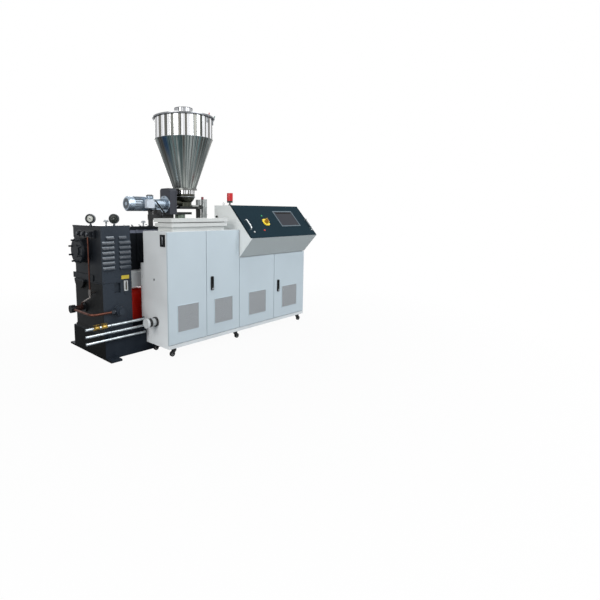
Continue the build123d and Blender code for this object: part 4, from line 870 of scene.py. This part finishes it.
def finished(piece, finish, body="extruder"):
    """Gives the piece its finish, smooth shading and the body that it moves with."""
    choose(piece)
    piece.data.materials.clear()
    piece.data.materials.append(finish)
    bpy.ops.object.shade_smooth_by_angle(angle=smooth_angle)
    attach(piece, body)
    added.append(piece)


print("modelling helpers ready")

# %% [markdown]
# ## Bolts and screws
# A machine is held together by rows of the same bolt, so one is modelled and copied. The hexagon head
# is a six-sided rod on a round washer, and its top face is inset and lifted, which gives the turned
# chamfer of a real head. A socket screw is a round rod whose top is inset and pushed in.

# %% One bolt and one screw
def make_bolt(size):
    """A hexagon head on a washer, standing on z = 0. Size is the head's radius."""
    washer = rod("washer", size * 1.35, (0, 0, 0), (0, 0, size * 0.2), 20)
    inset(washer, top_face, size * 0.1, 0.0004)
    head = rod("head", size, (0, 0, size * 0.2), (0, 0, size * 0.85), 6)
    inset(head, top_face, size * 0.16, size * 0.08)
    return join("bolt", washer, head)


def make_screw(size):
    """A low round screw head with a socket, standing on z = 0."""
    head = rod("screw", size, (0, 0, 0), (0, 0, size * 0.5), 16)
    inset(head, top_face, size * 0.12, size * 0.08)
    return inset(head, top_face, size * 0.42, -size * 0.3)


def fasten(name, places, normal, size, finish=dark_steel, make=make_bolt):
    """Copies of one bolt at these places, standing on faces with that normal."""
    finished(copies(make(size), name, [aimed(place, normal) for place in places]), finish)


def screws(name, places, normal, size, finish=steel):
    """The same with a socket screw."""
    fasten(name, places, normal, size, finish, make_screw)


def bolt_circle(middle, radius, count, axis, start=0.0):
    """Places on a bolt circle round an axis, x or z."""
    places = []
    for number in range(count):
        angle = start + 2 * math.pi * number / count
        one, two = radius * math.cos(angle), radius * math.sin(angle)
        places.append(Vector(middle) + Vector((0, one, two) if axis == "x" else (one, two, 0)))
    return places


# %% Bolts of the drive
lid_bolts = [(-0.94 + 0.098 * number, side, 1.329) for number in range(6) for side in (-0.172, 0.172)]
fasten("box_lid_bolts", lid_bolts, up, 0.009)
gland_bolts = [(-1.140 + a * 0.036, -0.352, 0.486 + b * 0.036) for a in (-1, 1) for b in (-1, 1)]
fasten("gland_bolts", gland_bolts, front, 0.005)
fasten("manifold_bolts", [(-1.320, -0.226, 1.262), (-1.320, 0.098, 1.262)], left, 0.008)
guard_screws = [(x, -0.338, z) for x in (-1.282, -0.980) for z in (0.792, 1.328)]
screws("gearbox_guard_screws", guard_screws, front, 0.006, dark_steel)
red_guard_screws = [(x, -0.188, z) for x in (-0.950, -0.678) for z in (0.335, 0.560)]
screws("coupling_guard_screws", red_guard_screws, front, 0.006)
cooler_screws = [(x, -0.190, z) for x in (-0.956, -0.744) for z in (0.690, 0.825)]
screws("cooler_screws", cooler_screws, front, 0.005)
motor_box_screws = [(x, y, 0.740) for x in (-0.373, -0.207) for y in (-0.073, 0.073)]
screws("motor_box_screws", motor_box_screws, up, 0.006)
print("drive bolts:", len(added), "rows")

# %% Bolts of the barrel and the feeder
cover_screws = [(x, y, 1.260) for x in (-0.34, 0.16, 0.60, 1.10) for y in (-0.195, 0.195)]
screws("barrel_cover_screws", cover_screws, up, 0.007)
stand_bolts = [(x, y, 0.267) for x in (1.116, 1.244) for y in (-0.13, 0.13)]
fasten("stand_bolts", stand_bolts, up, 0.009)
fasten("stub_bolts", bolt_circle((-0.076, 0, 1.272), 0.0735, 6, "z"), up, 0.007, steel)
fasten("neck_bolts", bolt_circle((0, 0, 1.766), 0.1475, 12, "z", 0.2), up, 0.0046, steel)
fasten("reducer_bolts", bolt_circle((-0.308, 0, 1.574), 0.086, 6, "x", 0.5), left, 0.008, steel)
terminal_screws = [(x, -0.128, z) for x in (-0.618, -0.534) for z in (1.534, 1.614)]
screws("terminal_screws", terminal_screws, front, 0.0045)
chain_screws = [(-0.294, y, z) for y in (-0.085, 0.085) for z in (1.470, 1.600, 1.715)]
screws("chain_guard_screws", chain_screws, left, 0.006, dark_steel)
print("bolt rows so far:", len(added))

# %% [markdown]
# ## Rolled beads and the hopper's rim latch
# A sheet hopper is stiffened by rolled beads. A bead is a small circle swept round the axis, which is
# what the spin operator does: it merges the ends, and the faces are then turned outwards. A latch with
# a red lever and one with a green cap hold the lid at the rim.

# %% Beads on the hopper
def bead(name, middle, radius, thick, axis=up, steps=72, turn=360, start=None):
    """A round bead swept about the axis through middle, all the way round or by turn degrees."""
    deselect_all()
    axis = Vector(axis).normalized()
    side = Vector(start).normalized() if start else axis.orthogonal().normalized()
    along = axis.cross(side)
    bpy.ops.mesh.primitive_circle_add(
        vertices=12,
        radius=thick,
        location=Vector(middle) + side * radius,
        rotation=along.to_track_quat("Z", "Y").to_euler(),
        fill_type="NGON" if turn < 360 else "NOTHING",
    )
    piece = new_piece(name)
    bpy.ops.object.mode_set(mode="EDIT")
    bpy.ops.mesh.select_all(action="SELECT")
    bpy.ops.mesh.spin(steps=steps, angle=-math.radians(turn), center=middle, axis=axis)
    bpy.ops.mesh.select_all(action="SELECT")
    bpy.ops.mesh.normals_make_consistent(inside=False)
    bpy.ops.object.mode_set(mode="OBJECT")
    return piece


finished(bead("rim_bead", (0, 0, 2.588), 0.3655, 0.0045), steel)
finished(bead("shoulder_seam", (0, 0, shoulder_height), 0.349, 0.0025), steel)
finished(bead("neck_ring", (0, 0, 1.667), 0.1245, 0.005, steps=64), steel)
print("three beads rolled")

# %% Rim latches
def rim_latch(name, angle, lever_finish):
    """A hook over the rim, its strap and a coloured lever, at this angle round the rim."""
    outward = Vector((math.cos(math.radians(angle)), math.sin(math.radians(angle)), 0))
    place = aimed(outward * 0.366 + Vector((0, 0, 2.5925)), outward)
    hook = soften(block("hook", (-0.013, -0.014, -0.020), (0.013, 0.012, 0.010)), 0.003)
    strap = soften(block("strap", (-0.008, -0.075, -0.019), (0.008, -0.010, -0.007)), 0.002)
    finished(copies(join("latch", hook, strap), name, [place]), steel)
    lever = rod("lever", 0.008, (0, 0.006, 0.002), (0, 0.030, 0.012), 20, 0.005)
    finished(copies(soften(lever, 0.002), name + "_lever", [place]), lever_finish)


green_cap = paint("green_cap", (60, 110, 96), gloss=0.35)
rim_latch("rim_latch_left", -76, lever_red)
rim_latch("rim_latch_right", -48, green_cap)
print("rim latches hooked on")

# %% [markdown]
# ## Gauge faces
# Two pressure gauges stand on the gearbox and look towards the operator. A dial is a thin disc with an
# inset rim, and its scale is one tick copied every fifteen degrees. The needle's tip is drawn in.

# %% Dials, scales and needles
def gauge_face(name, middle, surround_finish, dial_finish, mark_finish, needle_turn):
    """A dial with its scale and needle on the gauge at middle, looking along the diagonal."""
    look = Vector((-0.7071, -0.7071, 0))
    face = aimed(Vector(middle) + look * 0.0122, look)

    def put(piece, part, finish, angles=(0,)):
        turns = [Matrix.Rotation(math.radians(angle), 4, "Z") for angle in angles]
        finished(copies(piece, f"{name}_{part}", [face @ turn for turn in turns]), finish)

    surround = rod("surround", 0.0435, (0, 0, -0.0012), (0, 0, 0), 48)
    put(inset(surround, top_face, 0.002, 0.0006), "surround", surround_finish)
    dial = rod("dial", 0.031, (0, 0, 0.0004), (0, 0, 0.0012), 48)
    put(inset(dial, top_face, 0.001, 0.0003), "dial", dial_finish)
    tick = block("tick", (-0.0008, 0.023, 0.001), (0.0008, 0.029, 0.0022))
    put(inset(tick, top_face, 0.0002), "scale", mark_finish, range(-135, 136, 15))
    needle = block("needle", (-0.0022, -0.010, 0.0024), (0.0022, 0.024, 0.0036))
    pick(needle, facing(back))
    bpy.ops.transform.resize(value=(0.3, 1, 1))
    bpy.ops.object.mode_set(mode="OBJECT")
    hub = inset(rod("hub", 0.0055, (0, 0, 0.0006), (0, 0, 0.0035), 20), top_face, 0.0012, 0.0005)
    put(join("pointer", needle, hub), "needle", mark_finish, [needle_turn])


dial_white = paint("dial_white", (206, 208, 200), gloss=0.3)
dial_dark = paint("dial_dark", (26, 32, 30), gloss=0.35, shine=0.2)
mark_black = paint("mark_black", (40, 42, 42), gloss=0.4, shine=0.2)
mark_white = paint("mark_white", (120, 124, 122), gloss=0.4)
gauge_face("front_gauge", (-1.260, -0.062, 1.412), dial_dark, dial_white, mark_black, 60)
gauge_face("rear_gauge", (-1.135, -0.313, 1.412), dial_dark, dial_dark, mark_white, 110)
print("gauge faces done")

# %% [markdown]
# ## Plates on the gearbox
# A bare yellow plate sits low on the guard. Below it is the oil level: a white strip with a glass tube
# in a groove. The plate is a thin block with a raised edge, and the groove is a face pushed in.

# %% Yellow plate and oil level
yellow = paint("plate_yellow", (208, 184, 56), gloss=0.4)
plate_white = paint("plate_white", (214, 216, 216), gloss=0.35)
tube_dark = paint("tube_dark", (96, 92, 84), gloss=0.12)
plate = block("gearbox_plate", (-1.090, -0.3400, 0.802), (-1.003, -0.3375, 0.840))
finished(inset(plate, facing(front), 0.003, -0.0005), yellow)
tube_x = -1.044
strip = block("oil_level_strip", (-1.063, -0.352, 0.680), (-1.025, -0.337, 0.786))
inset(strip, facing(front), 0.009)
pick(strip, lambda at, normal: normal.y < -0.9 and abs(at.x - tube_x) < 0.001 and at.z > 0.7)
bpy.ops.mesh.extrude_region_move(TRANSFORM_OT_translate={"value": (0, 0.006, 0)})
bpy.ops.object.mode_set(mode="OBJECT")
finished(strip, plate_white)
tube = rod("oil_level_tube", 0.006, (tube_x, -0.350, 0.691), (tube_x, -0.350, 0.775), 20)
finished(soften(tube, 0.0015), tube_dark)
print("plate and oil level in place")

# %% [markdown]
# ## The union on the copper pipe
# The thick copper pipe meets the gland through a union. Its nut is a six-sided rod, and its collar a
# round one that is a little smaller. Both ends of the nut are inset and lifted, as a turned chamfer.

# %% Union
nut = rod("nut", 0.023, (-1.230, -0.370, 0.486), (-1.202, -0.370, 0.486), 6)
inset(nut, facing(left), 0.004, 0.002)
inset(nut, facing(right), 0.004, 0.002)
union_collar = rod("collar", 0.018, (-1.202, -0.370, 0.486), (-1.188, -0.370, 0.486), 28)
inset(union_collar, facing(right), 0.002, 0.001)
finished(join("pipe_union", nut, union_collar), dark_steel)
print("union nut: 46 mm over its corners")

# %% [markdown]
# ## U-bolts on the water pipes
# Three water pipes run along the base. Each is held against its clamp strip by a U-bolt: half a bead
# over the pipe, and two straight legs into the strip. One is made and copied to every place.

# %% U-bolts
bend, wire_radius = 0.0158, 0.0024
arch = bead("arch", (0, 0, 0), bend, wire_radius, right, 12, 180, up)
legs = [rod("leg", wire_radius, (0, 0, z), (0, 0.022, z), 12) for z in (-bend, bend)]
washers = [rod("pad", 0.006, (0, 0.0195, z), (0, 0.022, z), 16) for z in (-bend, bend)]
for washer in washers:
    inset(washer, facing(front), 0.001, 0.0004)
u_bolt = join("u_bolt", arch, *legs, *washers)
clamped = [(x, -0.406, z) for x in (-1.262, -0.880) for z in (0.226, 0.296, 0.366)]
finished(copies(u_bolt, "pipe_u_bolts", [Matrix.Translation(place) for place in clamped]), steel)
print("U-bolts:", len(clamped))

# %% [markdown]
# ## Fittings on the cabinet
# The left side carries a black latch with a grey grip and a keyhole. The doors' handles have a round
# lock at the bottom. The console has a small knob on its side and a lifting eye on top.

# %% Latch and keyhole
plastic = paint("black_plastic", (14, 15, 17), gloss=0.36, shine=0.3)
latch = soften(block("side_latch", (-0.833, -0.734, 1.136), (cabinet_left_face, -0.654, 1.256)), 0.003)
finished(inset(latch, facing(left), 0.012, -0.005), plastic)
grip = block("side_latch_grip", (-0.836, -0.706, 1.158), (-0.827, -0.684, 1.236))
finished(soften(grip, 0.003), steel)
keyhole = (cabinet_left_face, -0.529, 0.790)
rosette = rod("keyhole_rosette", 0.011, keyhole, (-0.8275, -0.529, 0.790), 24)
finished(inset(rosette, facing(left), 0.002, 0.001), steel)
slot = block("keyhole_slot", (-0.8290, -0.531, 0.783), (-0.8270, -0.527, 0.797))
finished(soften(slot, 0.0005), plastic)
print("cabinet latch done")

# %% Door locks
def door_lock(name, x, z, body):
    """A round lock barrel with a key slot, on a handle."""
    barrel = rod(name, 0.0085, (x, -0.783, z), (x, -0.788, z), 24)
    finished(inset(barrel, facing(front), 0.0015, 0.0008), chrome, body)
    key_slot = block(name + "_slot", (x - 0.001, -0.7892, z - 0.005), (x + 0.001, -0.7880, z + 0.005))
    finished(soften(key_slot, 0.0003), plastic, body)


door_lock("door_2_lock", -0.245, 0.654, "door_2")
door_lock("door_4_lock", 0.882, 0.493, "door_4")
print("locks on doors 2 and 4")

# %% Console knob and eye
stem = rod("stem", 0.007, (0.1845, -0.397, 1.429), (0.172, -0.397, 1.429), 20)
cap = soften(rod("cap", 0.014, (0.173, -0.397, 1.429), (0.160, -0.397, 1.429), 28, 0.012), 0.003)
finished(join("side_knob", stem, cap), plastic)
shank = rod("shank", 0.012, (0.264, -0.420, 1.5615), (0.264, -0.420, 1.568), 24)
inset(shank, top_face, 0.004, 0.003)
eye = bead("eye", (0.264, -0.420, 1.583), 0.012, 0.004, right, 32)
finished(join("lifting_eye", shank, eye), plate_white)
print("console fittings done")

# %% [markdown]
# ## Castor hubs
# Each wheel has a light plastic hub cap on either side. The caps are placed from the CAD wheel's own
# box and ride on its body, so they turn with it.

# %% Hubs
hub_grey = paint("hub_grey", (190, 192, 192), gloss=0.35)
for number in range(1, 7):
    low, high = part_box(f"castor_{number}_wheel")
    x, z = (low[0] + high[0]) / 2, (low[2] + high[2]) / 2
    sides = []
    for side in (-1, 1):
        face = low[1] if side < 0 else high[1]
        disc = rod("disc", 0.015, (x, face - side * 0.002, z), (x, face + side * 0.001, z), 24)
        sides.append(inset(disc, facing((0, side, 0)), 0.004, -0.0006))
    finished(join(f"castor_{number}_hub", *sides), hub_grey, f"wheel_{number}")
print("hubs done; the last wheel is", round(high[1] - low[1], 3), "m wide")

# %% [markdown]
# ## The feeder's cable conduit
# A stiff black conduit runs from the feeder motor's terminal box across the reducer and into the beam
# below. A circle at the box is extruded for each straight run and spun for each bend.

# %% Conduit
conduit_start = (-0.520, -0.108, 1.608)
deselect_all()
bpy.ops.mesh.primitive_circle_add(
    vertices=16, radius=0.008, location=conduit_start, rotation=(0, math.pi / 2, 0), fill_type="NGON"
)
conduit = new_piece("feeder_conduit")
bpy.ops.object.mode_set(mode="EDIT")
bpy.ops.mesh.select_mode(type="FACE")
bpy.ops.mesh.select_all(action="SELECT")
tip, heading = Vector(conduit_start), Vector(right)


def run(length):
    """Extrudes the conduit's open end straight on."""
    global tip
    bpy.ops.mesh.extrude_region_move(TRANSFORM_OT_translate={"value": heading * length})
    tip = tip + heading * length


def turn_towards(target, degrees, radius):
    """Spins the conduit's open end towards target."""
    global tip, heading
    axis = heading.cross(Vector(target)).normalized()
    inward = axis.cross(heading)
    centre = tip + inward * radius
    bpy.ops.mesh.spin(steps=8, angle=-math.radians(degrees), center=centre, axis=axis)
    rotation = Matrix.Rotation(math.radians(degrees), 4, axis)
    tip = centre + rotation @ (tip - centre)
    heading = rotation @ heading


run(0.008)
turn_towards((0, 0, -1), 50, 0.035)
run(0.170)
turn_towards(back, 90, 0.030)
run(0.052)
bpy.ops.mesh.select_all(action="SELECT")
bpy.ops.mesh.normals_make_consistent(inside=False)
bpy.ops.object.mode_set(mode="OBJECT")
finished(conduit, plastic)
upper_gland = rod("gland", 0.013, (-0.527, -0.108, 1.608), (-0.510, -0.108, 1.608), 6)
inset(upper_gland, facing(right), 0.003, 0.003)
lower_gland = rod("gland", 0.013, (tip.x, -0.029, tip.z), (tip.x, -0.046, tip.z), 6)
inset(lower_gland, facing(front), 0.003, 0.003)
finished(join("conduit_glands", upper_gland, lower_gland), dark_steel)
print("the conduit ends at", [round(v, 3) for v in tip])

# %% [markdown]
# ## Print the sizes
# The dressed machine must fill the same box as the CAD model, so its box is printed.

# %% Sizes
low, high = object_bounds()
print("visual box:", [round(v, 3) for v in low], [round(v, 3) for v in high])
print("new pieces:", len(added), "faces:", sum(len(piece.data.polygons) for piece in added))
